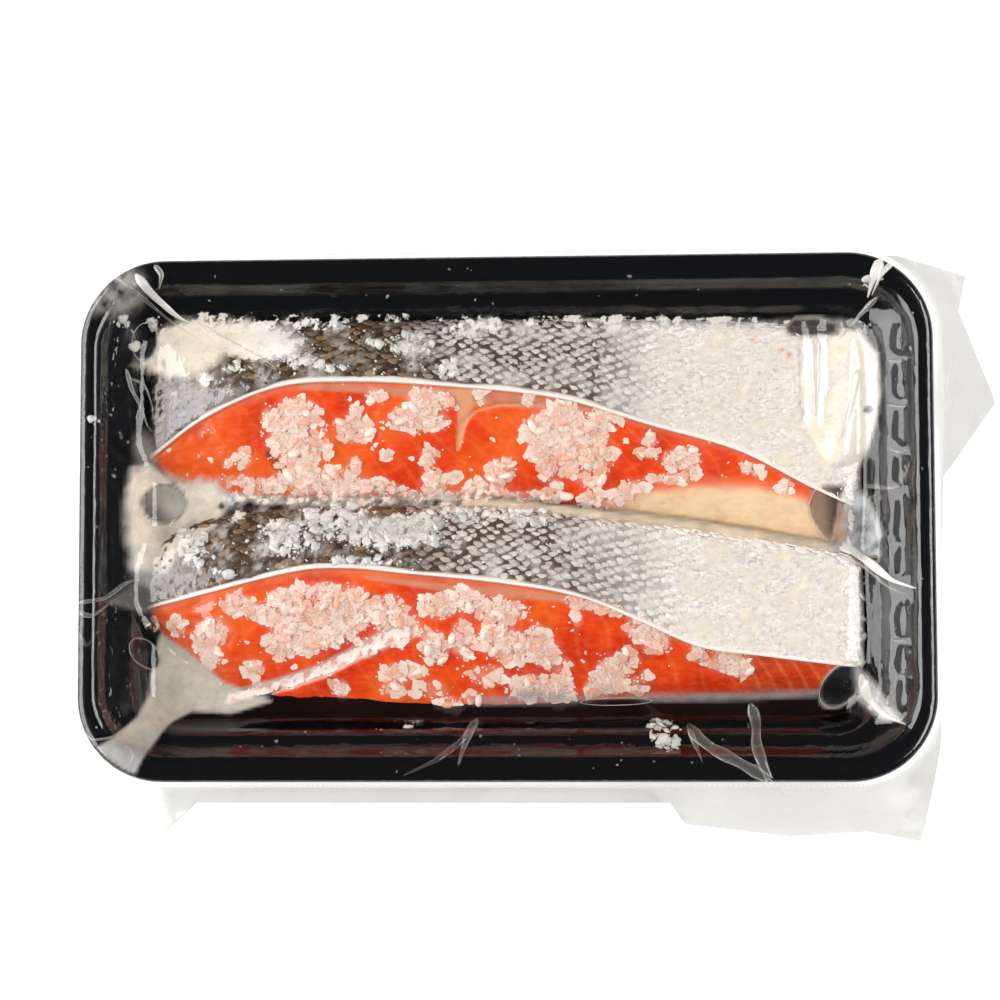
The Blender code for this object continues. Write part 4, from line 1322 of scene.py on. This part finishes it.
FOOT = [(-6.0, -44.6), (30.0, -44.2), (60.0, -43.6), (80.0, -42.8)]
FOOT_STAIN = [(-6.0, -44.6), (30.0, -44.2), (84.0, -42.8)]
DRIPS = [
    (-89.0, -35.0), (-86.6, -27.6), (-79.0, -33.0), (-71.0, -40.0), (-59.0, -44.6), (-69.0, -47.6),
    (-79.0, -47.0), (-83.5, -49.5), (-86.6, -54.8), (-89.4, -60.6), (-90.6, -63.6), (-96.5, -61.5),
    (-100.0, -56.4), (-95.4, -53.6), (-91.0, -48.5), (-89.4, -43.0),
]
BACK_FOOT = [(-80.0, 50.8), (-40.0, 50.4), (0.0, 50.0), (60.0, 49.4), (70.0, 48.6)]
POCKET = [
    (74.8, 3.6), (76.2, 7.0), (79.0, 8.2), (83.9, 8.0), (82.6, 4.0), (81.8, -0.7), (80.6, -6.4),
    (78.4, -4.4), (75.5, 0.4),
]
CORNER_POCKET = [
    (69.4, 47.4), (71.9, 49.6), (78.0, 49.6), (82.4, 48.2), (82.4, 45.6), (75.5, 44.8), (70.6, 45.4),
]
VOIDS = [
    (-86.0, 5.0, 5.2, 5.0, 0), (-71.8, 4.2, 0.9, 0.9, 0), (-90.3, 45.2, 2.8, 4.6, -14),
    (-90.3, -32.8, 2.6, 4.2, 30), (89.6, 26.5, 0.9, 0.9, 0), (27.1, -45.0, 8.8, 0.9, 1),
    (82.4, -41.2, 6.2, 4.2, 50),
]

# The same outlines with ragged edges are read from places that the mottling has shifted.
RX = GX + 1.6 * CLOUD + 1.2 * FINE
RY = GY + 1.2 * CLOUD + 1.2 * FINE
above_back_ridge = GY - BACK_SLICE["ridge_y"](GX)
above_front_ridge = GY - FRONT_SLICE["ridge_y"](GX)
above_back_face = GY - BACK_SLICE["front_y"](GX)
crease = beside(GX + 0.5 * FINE, GY + 0.5 * FINE, CREASE_FRONT[1:], [1.6, 2.0, 2.0, 2.0, 2.2, 2.9, 3.0])
seam_left = beside(GX, GY, SEAM_LEFT, 1.9) * np.clip(0.62 + 0.9 * FINE + 0.5 * CLOUD, 0.0, 1.0)
soft_white = eased(GX, 26.0, 60.0) * eased(above_front_ridge, -0.5, 1.5)
soft_white = soft_white * (1 - eased(GY - 49.0, -1.0, 1.0)) * (1 - eased(GX + 2.0 * FINE, 83.0, 87.0))
on_front = 1.0 - eased(above_back_face, -2.0, 0.0)
soft_white = soft_white * np.maximum(eased(above_back_ridge, -0.5, 1.5), on_front)
over_skin = np.maximum(
    eased(above_back_ridge, 0.0, 2.0) * (1 - eased(GY, 48.0, 50.0)),
    eased(above_front_ridge, 0.0, 2.0) * on_front,
)
over_skin = over_skin * (1 - eased(np.abs(GX), 82.0, 88.0))
wet = 0.02 + 0.5 * CLOUD + 0.4 * FINE + 0.14 * eased(GX, -20.0, 20.0)
wet = np.clip(wet + 0.26 * eased(GX, 26.0, 60.0), 0.0, 0.86)
haze = 0.22 * (1 - np.exp(-blurred(scattered(back_spots + front_spots, 2.4, 0.3), 1.4)))
fluff = 0.85 * (1 - np.exp(-blurred(scattered(clump_spots + more_spots, 2.0, 0.4), 1.1)))
cotton = eased(fluff + 0.3 * FINE + 0.12 * CLOUD, 0.12, 0.66)
pressed = crowding(GX, GY, KOJI_BACK + KOJI_FRONT)
fringe = beside(GX, GY, BACK_FOOT, [2.4, 1.8, 1.3, 1.1, 1.0])
fringe_share = np.clip(0.3 + 0.9 * CLOUD + 0.5 * FINE + 0.3 * eased(GX, 0.0, 30.0), 0.0, 1.0)
fringe = np.maximum(fringe * fringe_share, 0.0)
over_lining = eased(GX, 18.0, 26.0) * eased(LINING_BACK(GX) - GY, -3.0, 0.0)
over_lining = over_lining * eased(above_back_face, -1.0, 1.5) * (1 - eased(GX, 81.5, 83.5))
pocket = filled(GX, GY, POCKET, 1.2)
corner_pocket = filled(GX, GY, CORNER_POCKET, 1.2)
low_pocket = oval(GX, GY, 82.4, -41.2, 6.2, 4.2, 1.0, 50.0)
# Painted shade: the pockets, gaps beside the slices' right ends, are covered with a dark sheet.
pocket_shade = np.maximum(pocket, corner_pocket)

milk = laid(
    0.0 * GX,
    0.97 * filled(GX + 0.9 * CLOUD, GY + 0.9 * FINE, POND, 3.0),
    0.25 * oval(GX, GY, -90.0, 17.0, 2.4, 5.0, 3.0, 10.0),
    0.85 * beside(GX, GY, SEAM, [1.4, 1.6, 1.8, 1.9, 2.0, 2.0, 2.0, 2.0]),
    0.5 * crease,
    0.8 * seam_left,
    0.97 * oval(RX, RY, -80.0, 43.0, 11.0, 7.0, 3.0, 12.0),
    0.92 * oval(RX, RY, -64.0, 45.0, 13.0, 4.4, 3.0, -10.0),
    0.3 * filled(GX, GY, TAIL_SKIN, 1.0) * eased(above_back_ridge, 0.2, 1.4),
    0.34 * filled(GX, GY, LEFT_TIP, 2.0),
    soft_white * np.clip(0.4 + 0.5 * FINE + 0.3 * CLOUD, 0.05, 0.85),
    over_skin * wet,
    0.96 * filled(GX, GY, PASTE, 1.6),
    # painted sheen: a silvery-white cover standing for the glints of crumpled film
    0.9 * filled(GX, GY, SHEEN_PATCH, 1.8) * np.clip(0.5 + 0.9 * CLOUD, 0.0, 1.0),
    0.7 * filled(GX, GY, SHEEN_PATCH_LOW, 1.6),
    0.5 * beside(GX, GY, FOOT, 1.5),
    0.7 * cotton * eased(fluff, 0.05, 0.2),
)
milk = np.clip(milk * (0.94 + 0.2 * CLOUD), 0.0, 1.0)
milk = np.maximum(milk, haze * (0.8 + 0.6 * FINE))
milk = milk * (1 - 0.85 * over_lining) * eased(INSET, 3.0, 5.0)
milk = np.maximum(milk, 0.86 * filled(GX, GY, DRIPS, 1.3) * eased(INSET, 0.6, 1.6))
crisp = laid(
    0.75 * fluff,
    fringe,
    0.66 * oval(GX, GY, -79.0, 44.0, 11.0, 7.5, 5.0, 12.0),
    0.66 * oval(GX, GY, -63.0, 45.0, 14.0, 5.0, 4.0, -10.0),
    0.66 * filled(GX, GY, PASTE, 4.0),
    0.7 * seam_left,
    crowding(GX, GY, CLUMPS_BACK + CLUMPS_FRONT) * np.clip(0.58 + 0.75 * FINE, 0.0, 1.0),
    pressed * np.clip(0.54 + 0.5 * FINE, 0.0, 0.84),
    crease * np.clip(0.68 + 0.5 * FINE, 0.0, 0.9),
)
for x, y, rx, ry, turn in VOIDS:
    hole = oval(GX, GY, x, y, rx, ry, 0.9, turn)
    milk = milk * (1 - 0.96 * hole)
    crisp = crisp * (1 - 0.96 * hole)
milk = milk * (1 - 0.95 * pocket_shade)
# the pockets get a near-opaque cover that carries their painted shade
milk = laid(milk, 0.72 * pocket, 0.86 * corner_pocket, low_pocket)
milk = np.maximum(milk, 0.7 * oval(GX, GY, -86.0, 5.0, 5.0, 4.8, 0.9))
crisp = crisp * (1 - pocket_shade) * (1 - low_pocket) * eased(INSET, 3.0, 5.0)

shore = np.clip(np.maximum(fluff, fringe) * 1.6, 0.0, 1.0)
bubble = oval(GX, GY, -86.0, 5.0, 5.2, 5.0, 1.2)
# Painted shade on the big bubble at the left: its lower-left side is darkened, its upper-right side paler.
bubble_shaded_side = eased(-GX - GY * 0.5, 80.0, 88.0)
cream_washes = [
    ((214, 210, 203), shore),
    ((190, 191, 190), shore * eased(-CLOUD - 0.5 * FINE, 0.1, 0.5)),
    ((241, 216, 201), np.clip(pressed * 1.5, 0.0, 1.0) * (1.0 - shore)),
    ((234, 164, 142), pressed * eased(FINE + 0.4 * CLOUD, 0.1, 0.45) * (1.0 - shore) * 0.8),
    ((238, 220, 208), seam_left),
    ((236, 224, 206), oval(GX, GY, -78.0, 44.0, 16.0, 9.0, 6.0)),
    ((232, 219, 201), filled(GX, GY, POND, 8.0) * np.clip(0.9 + 0.3 * CLOUD, 0, 1)),
    ((206, 196, 178), filled(GX, GY, DRIPS, 2.0) * 0.95),
    ((172, 172, 168), filled(GX, GY, DRIPS, 2.0) * eased(-GY, 50.0, 58.0) * 0.9),
    ((244, 236, 220), filled(GX, GY, PASTE, 3.0)),
    ((234, 216, 188), beside(GX, GY, SEAM, 2.6)),
    ((232, 224, 222), soft_white * eased(-CLOUD - 0.4 * FINE, 0.05, 0.4) * 0.7),
    ((250, 236, 227), np.clip(crease * 1.6, 0.0, 1.0)),
    ((246, 178, 160), crease * eased(-FINE, 0.0, 0.3) * 0.7),
    ((240, 226, 188), soft_white * eased(CLOUD + FINE, 0.42, 0.7) * 0.6),
    ((214, 126, 34), oval(GX, GY, 62.0, 44.5, 0.8, 0.8, 1.0)),
    ((214, 126, 34), oval(GX, GY, 70.5, 40.5, 0.7, 0.7, 1.0)),
    ((214, 126, 34), oval(GX, GY, 68.6, 41.8, 0.5, 0.5, 1.0)),
    ((176, 170, 166), beside(GX, GY, FOOT_STAIN, 3.0)),
    # painted shade: the liquor at the left side is greyed
    ((164, 160, 158), oval(GX, GY, -89.0, -17.0, 10.0, 5.0, 3.0)),
    ((212, 208, 214), oval(GX, GY, -73.0, 28.0, 13.0, 6.0, 2.0, 24.0)),
    # painted sheen of crumpled film, silvery-white
    ((216, 218, 221), filled(GX, GY, SHEEN_PATCH, 3.0)),
    # painted shade: dark grey over the pockets, lighter brown at the middle pocket's left end, near-black
    # over the low pocket
    ((62, 56, 52), pocket_shade),
    ((150, 128, 108), pocket * (1 - eased(GX, 77.5, 82.0))),
    ((22, 21, 22), low_pocket),
    # painted shade on the bubble's lower-left side, and its paler upper-right side
    ((128, 120, 110), bubble * bubble_shaded_side),
    ((206, 198, 188), bubble * (1 - bubble_shaded_side)),
    # painted sheen of crumpled film, silvery-white
    ((222, 224, 226), filled(GX, GY, SHEEN_PATCH_LOW, 3.0)),
]
cream = washed(np.tile(rgb(246, 239, 231), (GX.size, 1)), cream_washes)

paint = Paint("koji_brine")
tone = paint.point_colour("tone")
cover = paint.point_value("cover")
crumbly = paint.point_value("crumbly")
wisps = paint.noise(paint.place(), 300.0, 1.0)
crumbs = paint.noise(paint.place(), 460.0, 3.0, 0.55)
soft = paint.ramp(wisps, 0.3, 0.7, 0.9, 1.1) * cover
grit = paint.noise(paint.place(), 1500.0, 2.0, 0.6)
torn = paint.ramp(crumbly + (crumbs - 0.5) * 0.9 + (grit - 0.5) * 0.7, 0.38, 0.62)
colour = paint.blend(paint.ramp(grit, 0.4, 0.7, 0.0, 0.22), tone, rgba(214, 204, 196), "MULTIPLY")
relief = paint.bump(crumbs * torn + wisps * 0.3 + grit * 0.3, 0.3, 0.0006)
solid = paint.shader(base_color=colour, roughness=0.6, specular_ior_level=0.25, normal=relief)
broken = paint.node("ShaderNodeMath", {"operation": "MAXIMUM"}, {0: soft, 1: torn * 0.97})
clear = paint.node("ShaderNodeBsdfTransparent")
share = paint.node("ShaderNodeMath", {"operation": "MINIMUM"}, {0: broken, 1: 1.0})
brine_paint = paint.done(paint.node("ShaderNodeMixShader", None, {0: share, 1: clear, 2: solid}))

keep = (milk > 0.02) | (crisp > 0.12)
number = -np.ones(GX.shape, int)
used = np.zeros(GX.shape, bool)
cells = keep[:-1, :-1] | keep[1:, :-1] | keep[:-1, 1:] | keep[1:, 1:]
used[:-1, :-1] |= cells
used[1:, :-1] |= cells
used[:-1, 1:] |= cells
used[1:, 1:] |= cells
number[used] = np.arange(used.sum())
at = np.argwhere(cells)
milk_faces = [(number[i, j], number[i + 1, j], number[i + 1, j + 1], number[i, j + 1]) for i, j in at]
milk_points = np.stack([GX[used], GY[used], film_height(GX[used], GY[used]) - UNDER_FILM], axis=1)
milk_layer = piece("brine_layer", milk_points, milk_faces, brine_paint, ["brine"])
give(milk_layer, "cover", milk[used])
give(milk_layer, "crumbly", crisp[used])
give(milk_layer, "tone", cream.reshape(*GX.shape, 3)[used])

POOL_LINE = [(17.6, 1.9), (15.3, 3.8), (15.0, 7.0)]
POOL_RAYS = 200
POOL_TOP = 7.1
pool_rings = swept(POOL_LINE, POOL_LINE, rim_angles(POOL_RAYS))
pool_rings[2][:, 2] = POOL_TOP - BRINE_FALL * pool_rings[2][:, 0]
# The deep pool against the wall is coloured as painted shade, near-black, and its dark red is a painted
# reflection of the flesh.
paint = Paint("brine_pool")
pool_shade_mottle = paint.noise(paint.place(), 60.0, 3.0)
colour = paint.blend(paint.ramp(pool_shade_mottle, 0.35, 0.65), rgba(22, 9, 8), rgba(34, 16, 13))
pool_paint = paint.done(paint.shader(base_color=colour, roughness=0.2, specular_ior_level=0.3))
pool_faces = [tuple(reversed(f)) for f in tube_faces(len(pool_rings), POOL_RAYS)]
piece("brine_pool", pool_rings.reshape(-1, 3), pool_faces, pool_paint, ())

# ---- Pouch: clear film, two webs welded together. The upper one is drawn down over rim, shoulder and fish
# ---- by vacuum; the lower one cups the tray. Past the rim both run on as loose margins, milky where they
# ---- lie doubled, and welded to a strip at the left.

SEAL_LEVEL = 20.5
FILM_TOP = 25.0
MARGIN = [
    (-119.5, 69.0), (-120.3, -81.3), (-89.0, -80.6), (-85.5, -69.6), (-75.1, -69.6), (40.3, -69.6),
    (43.2, -69.6), (43.9, -75.1), (69.6, -78.2), (88.7, -77.1), (102.1, -79.6), (105.7, -55.7),
    (106.1, -20.6), (107.2, 9.2), (121.4, 28.7), (111.7, 50.3), (114.2, 59.8), (103.6, 62.1),
    (96.4, 63.7), (-93.2, 66.0),
]


def margin_reach(angle):
    """Distance along each ray to the cut edge of the margins, never inside the rim."""
    c = np.cos(angle)
    s = np.sin(angle)
    best = reach(HUG, angle) + 0.05
    for i in range(len(MARGIN)):
        ax, ay = MARGIN[i]
        ex = MARGIN[(i + 1) % len(MARGIN)][0] - ax
        ey = MARGIN[(i + 1) % len(MARGIN)][1] - ay
        side = c * ey - s * ex
        side = np.where(np.abs(side) < 1e-9, 1e-9, side)
        far = (ax * ey - ay * ex) / side
        share = (ax * s - ay * c) / side
        hit = (far > 0.0) & (share >= -1e-6) & (share <= 1.0 + 1e-6)
        best = np.where(hit, np.maximum(best, far), best)
    return best


def margin_level(x, y, out):
    """Height of the margins, out millimetres past the rim: they sag, most at the folded tails."""
    sag = np.full(np.shape(x), 0.42)
    sag = np.where((x > 36.0) & (y < 0.0), 0.9, sag)
    sag = np.where(x > 100.0, 0.75, sag)
    sag = np.where((x < -84.0) & (y < -60.0), 0.7, sag)
    wave = 0.5 * np.sin(0.11 * x + 0.17 * y) * np.minimum(1.0, out / 6.0)
    return np.maximum(3.0, SEAL_LEVEL - sag * out + wave)


rim_rays = rim_angles(520)
corner_rays = np.array([math.atan2(y, x) % (2 * math.pi) for x, y in MARGIN])
web_rays = np.sort(np.concatenate([rim_rays, corner_rays]))
web_rays = web_rays[np.concatenate([[True], np.diff(web_rays) > 0.0015])]
edge_reach = margin_reach(web_rays)
hug_reach = reach(HUG, web_rays)
flat_points = [np.stack([edge_reach * np.cos(web_rays), edge_reach * np.sin(web_rays)], axis=1)]
edges = [(i, (i + 1) % len(web_rays)) for i in range(len(web_rays))]
for inset in np.concatenate([np.linspace(HUG, 8.0, 20), np.arange(8.6, 14.3, 0.6)]):
    base = sum(len(p) for p in flat_points)
    r = reach(inset, rim_rays)
    flat_points.append(np.stack([r * np.cos(rim_rays), r * np.sin(rim_rays)], axis=1))
    if inset == HUG:
        edges += [(base + i, base + (i + 1) % len(rim_rays)) for i in range(len(rim_rays))]
for k in range(1, 16):
    r = hug_reach + 1.7 * k
    inside = r < edge_reach - 0.9
    r = r[inside][k % 2 :: 2]
    a = web_rays[inside][k % 2 :: 2]
    flat_points.append(np.stack([r * np.cos(a), r * np.sin(a)], axis=1))
inner = INSET > 14.6
flat_points.append(np.stack([GX[inner], GY[inner]], axis=1))
flat_points = np.concatenate(flat_points)
flat, _, triangles, _, _, _ = delaunay_2d_cdt([Vector(p) for p in flat_points], edges, [], 1, 1e-6)
web = np.array([(p.x, p.y) for p in flat])
wx = web[:, 0]
wy = web[:, 1]
w_angle = np.arctan2(wy, wx)
w_inset = insets(wx, wy)
w_out = np.hypot(wx, wy) - reach(HUG, w_angle)
margin = margin_level(wx, wy, np.maximum(w_out, 0.0))
wz = np.where(w_inset < HUG + 0.02, margin, film_height(wx, wy))
spots = np.stack([wx, wy, 0 * wx], axis=1)
loose = eased(-w_inset, 2.0, 5.0)
wz = wz + loose * (0.35 * rough(spots, 0.12, 6, 3))
wz = np.minimum(wz, FILM_TOP)
upward = []
for a, b, c in triangles:
    turn = (wx[b] - wx[a]) * (wy[c] - wy[a]) - (wy[b] - wy[a]) * (wx[c] - wx[a])
    upward.append((a, b, c) if turn > 0 else (a, c, b))

paint = Paint("clear_film")
cloudy = paint.point_value("cloudy")
tone = paint.point_colour("tone")
crinkle = paint.noise(paint.place(), 130.0, 2.0, 0.6)
fine = paint.noise(paint.stretched(1.0, 0.6, 1.0), 700.0, 1.0, 0.6)
ripple = paint.bump(crinkle + fine * 0.25, 0.5, 0.0006)
patchy = paint.ramp(crinkle, 0.3, 0.7, 0.94, 1.06) * cloudy
body = paint.shader(base_color=tone, roughness=0.45, normal=ripple)
clear = paint.node("ShaderNodeBsdfTransparent")
sheet = paint.node("ShaderNodeMixShader", None, {0: patchy, 1: clear, 2: body})
mirror = paint.node("ShaderNodeBsdfGlossy", None, {"Roughness": 0.07, "Normal": ripple})
graze = paint.node("ShaderNodeLayerWeight", None, {"Blend": 0.5, "Normal": ripple}, out="Facing")
sheen = graze**5.0 * 0.62 + 0.055
film_paint = paint.done(paint.node("ShaderNodeMixShader", None, {0: sheen, 1: sheet, 2: mirror}))

web_spots = np.stack([wx, wy, wz], axis=1)
upper_web = piece("upper_web", web_spots, upward, film_paint, ["top_film"])
cloudy = eased(-w_inset, 0.5, 1.3) * 0.78 * (1.0 - 0.93 * eased(-wx, 83.0, 92.0))
cloudy = np.maximum(cloudy, 0.35 * oval(wx, wy, -98.6, -70.8, 4.2, 8.0, 3.0))
patchy_share = np.clip(0.6 + rough(spots, 0.4, 12), 0.0, 1.0)
cloudy = np.maximum(cloudy, 0.34 * oval(wx, wy, -95.5, 56.5, 7.0, 5.0, 4.0, 35.0) * patchy_share)
give(upper_web, "cloudy", cloudy)
# Painted light and shade on the margins: the front one, facing away from the lamps, is greyed (a little
# less right of x 40-46), and the left one, lit by the left softbox, is whitened.
margin_light_and_shade = [
    ((200, 197, 191), eased(-wy, 64.0, 68.0)),
    ((211, 208, 202), eased(-wy, 64.0, 68.0) * eased(wx, 40.0, 46.0)),
    ((255, 246, 236), eased(-wx, 82.0, 94.0)),
]
give(upper_web, "tone", washed(np.tile(rgb(196, 194, 189), (len(wx), 1)), margin_light_and_shade))

LOWER_RAYS = 400
LOWER_FILM = 0.25
LOWER_LINE = [
    (17.2, 0.4), (15.2, 1.0), (13.7, 3.3), (11.7, 13.0), (8.0, 16.2), (3.5, 18.4), (0.0, 19.7),
    (-0.8, 20.0),
]
web_line = fine_profile(LOWER_LINE, 0.7, 2)
web_rings = swept(web_line, web_line, rim_angles(LOWER_RAYS))
round_rim = np.arange(LOWER_RAYS) * 2 * np.pi / LOWER_RAYS
pleats = np.sin(round_rim * 57) * 0.25 + np.sin(round_rim * 131) * 0.1
depth = np.sin(np.linspace(0.0, np.pi, len(web_rings)))
web_rings[:, :, 2] += depth[:, None] * pleats[None, :]
web_points, web_faces = shell(web_rings, LOWER_FILM)
lower_web = piece("lower_web", web_points, web_faces, film_paint, ["base_film"])
give(lower_web, "cloudy", np.full(len(web_points), 0.015))
give(lower_web, "tone", np.tile(rgb(236, 235, 231), (len(web_points), 1)))

# ---- Folds: where the upper web had film to spare, the vacuum has pinched it into narrow standing pleats.
# ---- Each runs along a line, arched in section, and fades out at its far end. All are of the same film.

ARCH_POINTS = 9
FOLDS = [
    ([(-76.9, 49.9), (-66.0, 43.5), (-58.3, 39.3), (-56.0, 36.6), (-56.8, 34.1)], 0.35, 0.45),
    ([(-98.0, 62.5), (-90.5, 56.0), (-83.3, 49.8), (-76.4, 45.6)], 0.5, 0.2),
    ([(-86.2, 63.0), (-84.0, 60.6), (-85.4, 57.4)], 0.7, 0.5),
    ([(-90.8, 60.8), (-87.2, 56.0), (-82.1, 51.4), (-79.0, 49.9)], 1.15, 0.8),
    ([(92.4, 62.2), (90.6, 58.0), (89.5, 53.6)], 1.3, 0.85),
    ([(95.6, 61.8), (92.4, 58.6), (90.4, 54.0)], 0.7, 0.7),
    ([(91.8, 53.5), (87.6, 49.6), (83.4, 45.1)], 0.6, 0.3),
    ([(90.4, 53.0), (86.0, 47.4), (82.8, 44.0)], 0.4, 0.3),
    ([(82.4, -7.4), (85.6, -7.6), (89.4, -11.0), (94.2, -15.6), (99.8, -17.9)], 1.2, 0.85),
    ([(84.0, -8.6), (88.8, -12.4), (93.6, -17.4), (99.2, -20.0)], 0.4, 0.45),
    ([(87.4, -38.4), (88.6, -44.0), (92.0, -48.2), (97.0, -50.6)], 1.2, 0.8),
    ([(90.0, -43.0), (94.0, -47.6), (97.0, -50.2)], 0.4, 0.5),
    ([(88.6, 8.0), (92.0, 7.2), (95.7, 6.4), (98.0, 10.0), (99.6, 14.5)], 0.5, 0.25),
    ([(93.9, 27.3), (97.0, 26.2), (99.8, 27.8)], 0.45, 0.2),
    ([(93.9, 16.8), (97.0, 14.8), (99.8, 17.4)], 0.45, 0.2),
    ([(94.1, 38.4), (97.0, 37.2), (99.6, 38.8)], 0.45, 0.2),
    ([(93.6, -30.0), (97.0, -30.8), (99.4, -29.4)], 0.4, 0.2),
    ([(-7.1, -48.9), (-10.0, -54.0), (-16.0, -59.0), (-24.2, -62.7)], 0.9, 0.1),
    ([(-7.6, -49.4), (-9.4, -54.0), (-10.8, -60.3)], 1.1, 0.2),
    ([(44.8, -50.6), (47.0, -53.6), (50.5, -56.3), (56.1, -59.2), (64.0, -63.7)], 1.5, 0.2),
    ([(60.2, -45.6), (61.6, -49.5), (61.2, -55.1), (62.4, -59.5), (64.2, -63.8)], 1.4, 0.22),
    ([(80.8, 8.5), (76.6, 7.2), (74.8, 3.6), (75.6, 0.2), (78.6, -4.4), (84.2, -7.6)], 0.14, 0.45),
    ([(45.0, -51.4), (46.4, -55.0), (48.2, -59.6)], 0.7, 0.25),
    ([(63.4, -63.4), (65.6, -65.6), (68.4, -68.4)], 0.6, 0.3),
    ([(-106.2, -20.8), (-98.7, -19.6), (-94.2, -15.2), (-89.2, -13.4), (-80.0, -12.4)], 0.5, 0.3),
    ([(-105.6, -22.6), (-101.0, -24.0), (-97.6, -20.4)], 0.6, 0.3),
    ([(-104.8, -27.0), (-102.2, -31.5), (-99.6, -27.4)], 0.5, 0.1),
    ([(-104.8, -51.0), (-100.5, -54.2), (-95.6, -53.4), (-90.6, -48.0)], 0.35, 0.4),
    ([(-93.0, -55.1), (-90.2, -57.1), (-91.6, -61.5)], 0.35, 0.35),
    ([(-94.5, 38.1), (-93.4, 33.0), (-91.4, 29.0), (-89.8, 24.0), (-87.5, 21.7)], 0.5, 0.4),
    ([(-94.0, 36.0), (-90.5, 34.6), (-88.6, 29.0), (-88.2, 24.0)], 0.3, 0.4),
    ([(-83.6, 20.0), (-84.2, 26.0), (-82.6, 30.8), (-75.9, 32.8), (-63.7, 33.2)], 0.3, 0.4),
    ([(76.9, 44.6), (77.0, 34.0), (76.6, 25.0)], 1.5, 0.55),
    ([(87.4, 36.6), (85.4, 28.0), (82.8, 19.4)], 1.3, 0.55),
]
fold_points = []
fold_faces = []
fold_cloudy = []
arch = np.linspace(0.0, np.pi, ARCH_POINTS)
film_tree = cast_tree([upper_web])
for line, width, share in FOLDS:
    line = np.array(line)
    run = np.concatenate([[0.0], np.cumsum(np.hypot(*np.diff(line, axis=0).T))])
    steps = max(6, int(run[-1] / 0.5))
    at = np.linspace(0.0, run[-1], steps)
    way = np.stack([np.interp(at, run, line[:, k]) for k in range(2)], axis=1)
    for _ in range(6):
        way[1:-1] = 0.25 * way[:-2] + 0.5 * way[1:-1] + 0.25 * way[2:]
    along = np.gradient(way, axis=0)
    along /= np.linalg.norm(along, axis=1, keepdims=True)
    taper = np.linspace(0.0, 1.0, steps)
    blunt = 0.75 if 1.3 < width and share < 0.3 else 0.12
    taper = np.sqrt(np.minimum(taper / 0.12 + 0.1, 1.0)) * np.minimum(1.0, blunt + 1.5 * (1.0 - taper))
    base = len(fold_points)
    for k in range(steps):
        half = width * taper[k] * (0.9 + 0.12 * math.sin(k * 0.35))
        high = half * (0.75 if width < 1.2 else 0.3) + 0.12
        for a in arch:
            x = way[k, 0] - along[k, 1] * math.cos(a) * half
            y = way[k, 1] + along[k, 0] * math.cos(a) * half
            spot = below(film_tree, x, y)[0]
            z = spot.z if spot is not None else 20.0
            fold_points.append((x, y, min(FILM_TOP + 0.2, z - 0.12 + math.sin(a) * high)))
            fold_cloudy.append(share * (0.4 + 1.5 * math.cos(a) ** 4) if share < 0.6 else share)
    for k in range(steps - 1):
        for m in range(ARCH_POINTS - 1):
            p = base + k * ARCH_POINTS + m
            fold_faces.append((p, p + ARCH_POINTS, p + ARCH_POINTS + 1, p + 1))
folds = piece("film_folds", fold_points, fold_faces, film_paint, ())
give(folds, "cloudy", fold_cloudy)
give(folds, "tone", np.tile(rgb(238, 234, 226), (len(fold_points), 1)))

# ---- Bubbles: air that the vacuum left under the upper web. The film stands a little proud round each one,
# ---- which shows as a fine bright ring.

RING_STEPS = 48
RING_SIDES = 5
RING_RADIUS = 0.1
ring_points = []
ring_quads = []
for x, y, rx, ry, turn in VOIDS:
    c = math.cos(math.radians(turn))
    s = math.sin(math.radians(turn))
    base = len(ring_points)
    for k in range(RING_STEPS):
        a = 2 * math.pi * k / RING_STEPS
        u = math.cos(a) * rx
        v = math.sin(a) * ry
        ox = x + u * c - v * s
        oy = y + u * s + v * c
        nx = math.cos(a) * c - math.sin(a) * s
        ny = math.cos(a) * s + math.sin(a) * c
        z = float(film_height(np.array([ox]), np.array([oy]))[0])
        for m in range(RING_SIDES):
            b = 2 * math.pi * m / RING_SIDES
            out = RING_RADIUS * math.cos(b)
            ring_points.append((ox + nx * out, oy + ny * out, z - 0.05 + RING_RADIUS * math.sin(b)))
    for k in range(RING_STEPS):
        for m in range(RING_SIDES):
            here = base + k * RING_SIDES
            ahead = base + (k + 1) % RING_STEPS * RING_SIDES
            n = (m + 1) % RING_SIDES
            ring_quads.append((here + m, here + n, ahead + n, ahead + m))
bubbles = piece("bubble_rims", ring_points, ring_quads, film_paint, ())
give(bubbles, "cloudy", np.full(len(ring_points), 0.4))
give(bubbles, "tone", np.tile(rgb(226, 220, 210), (len(ring_points), 1)))

# ---- The CAD's box, as its low and high corners.

low, high = cad_box
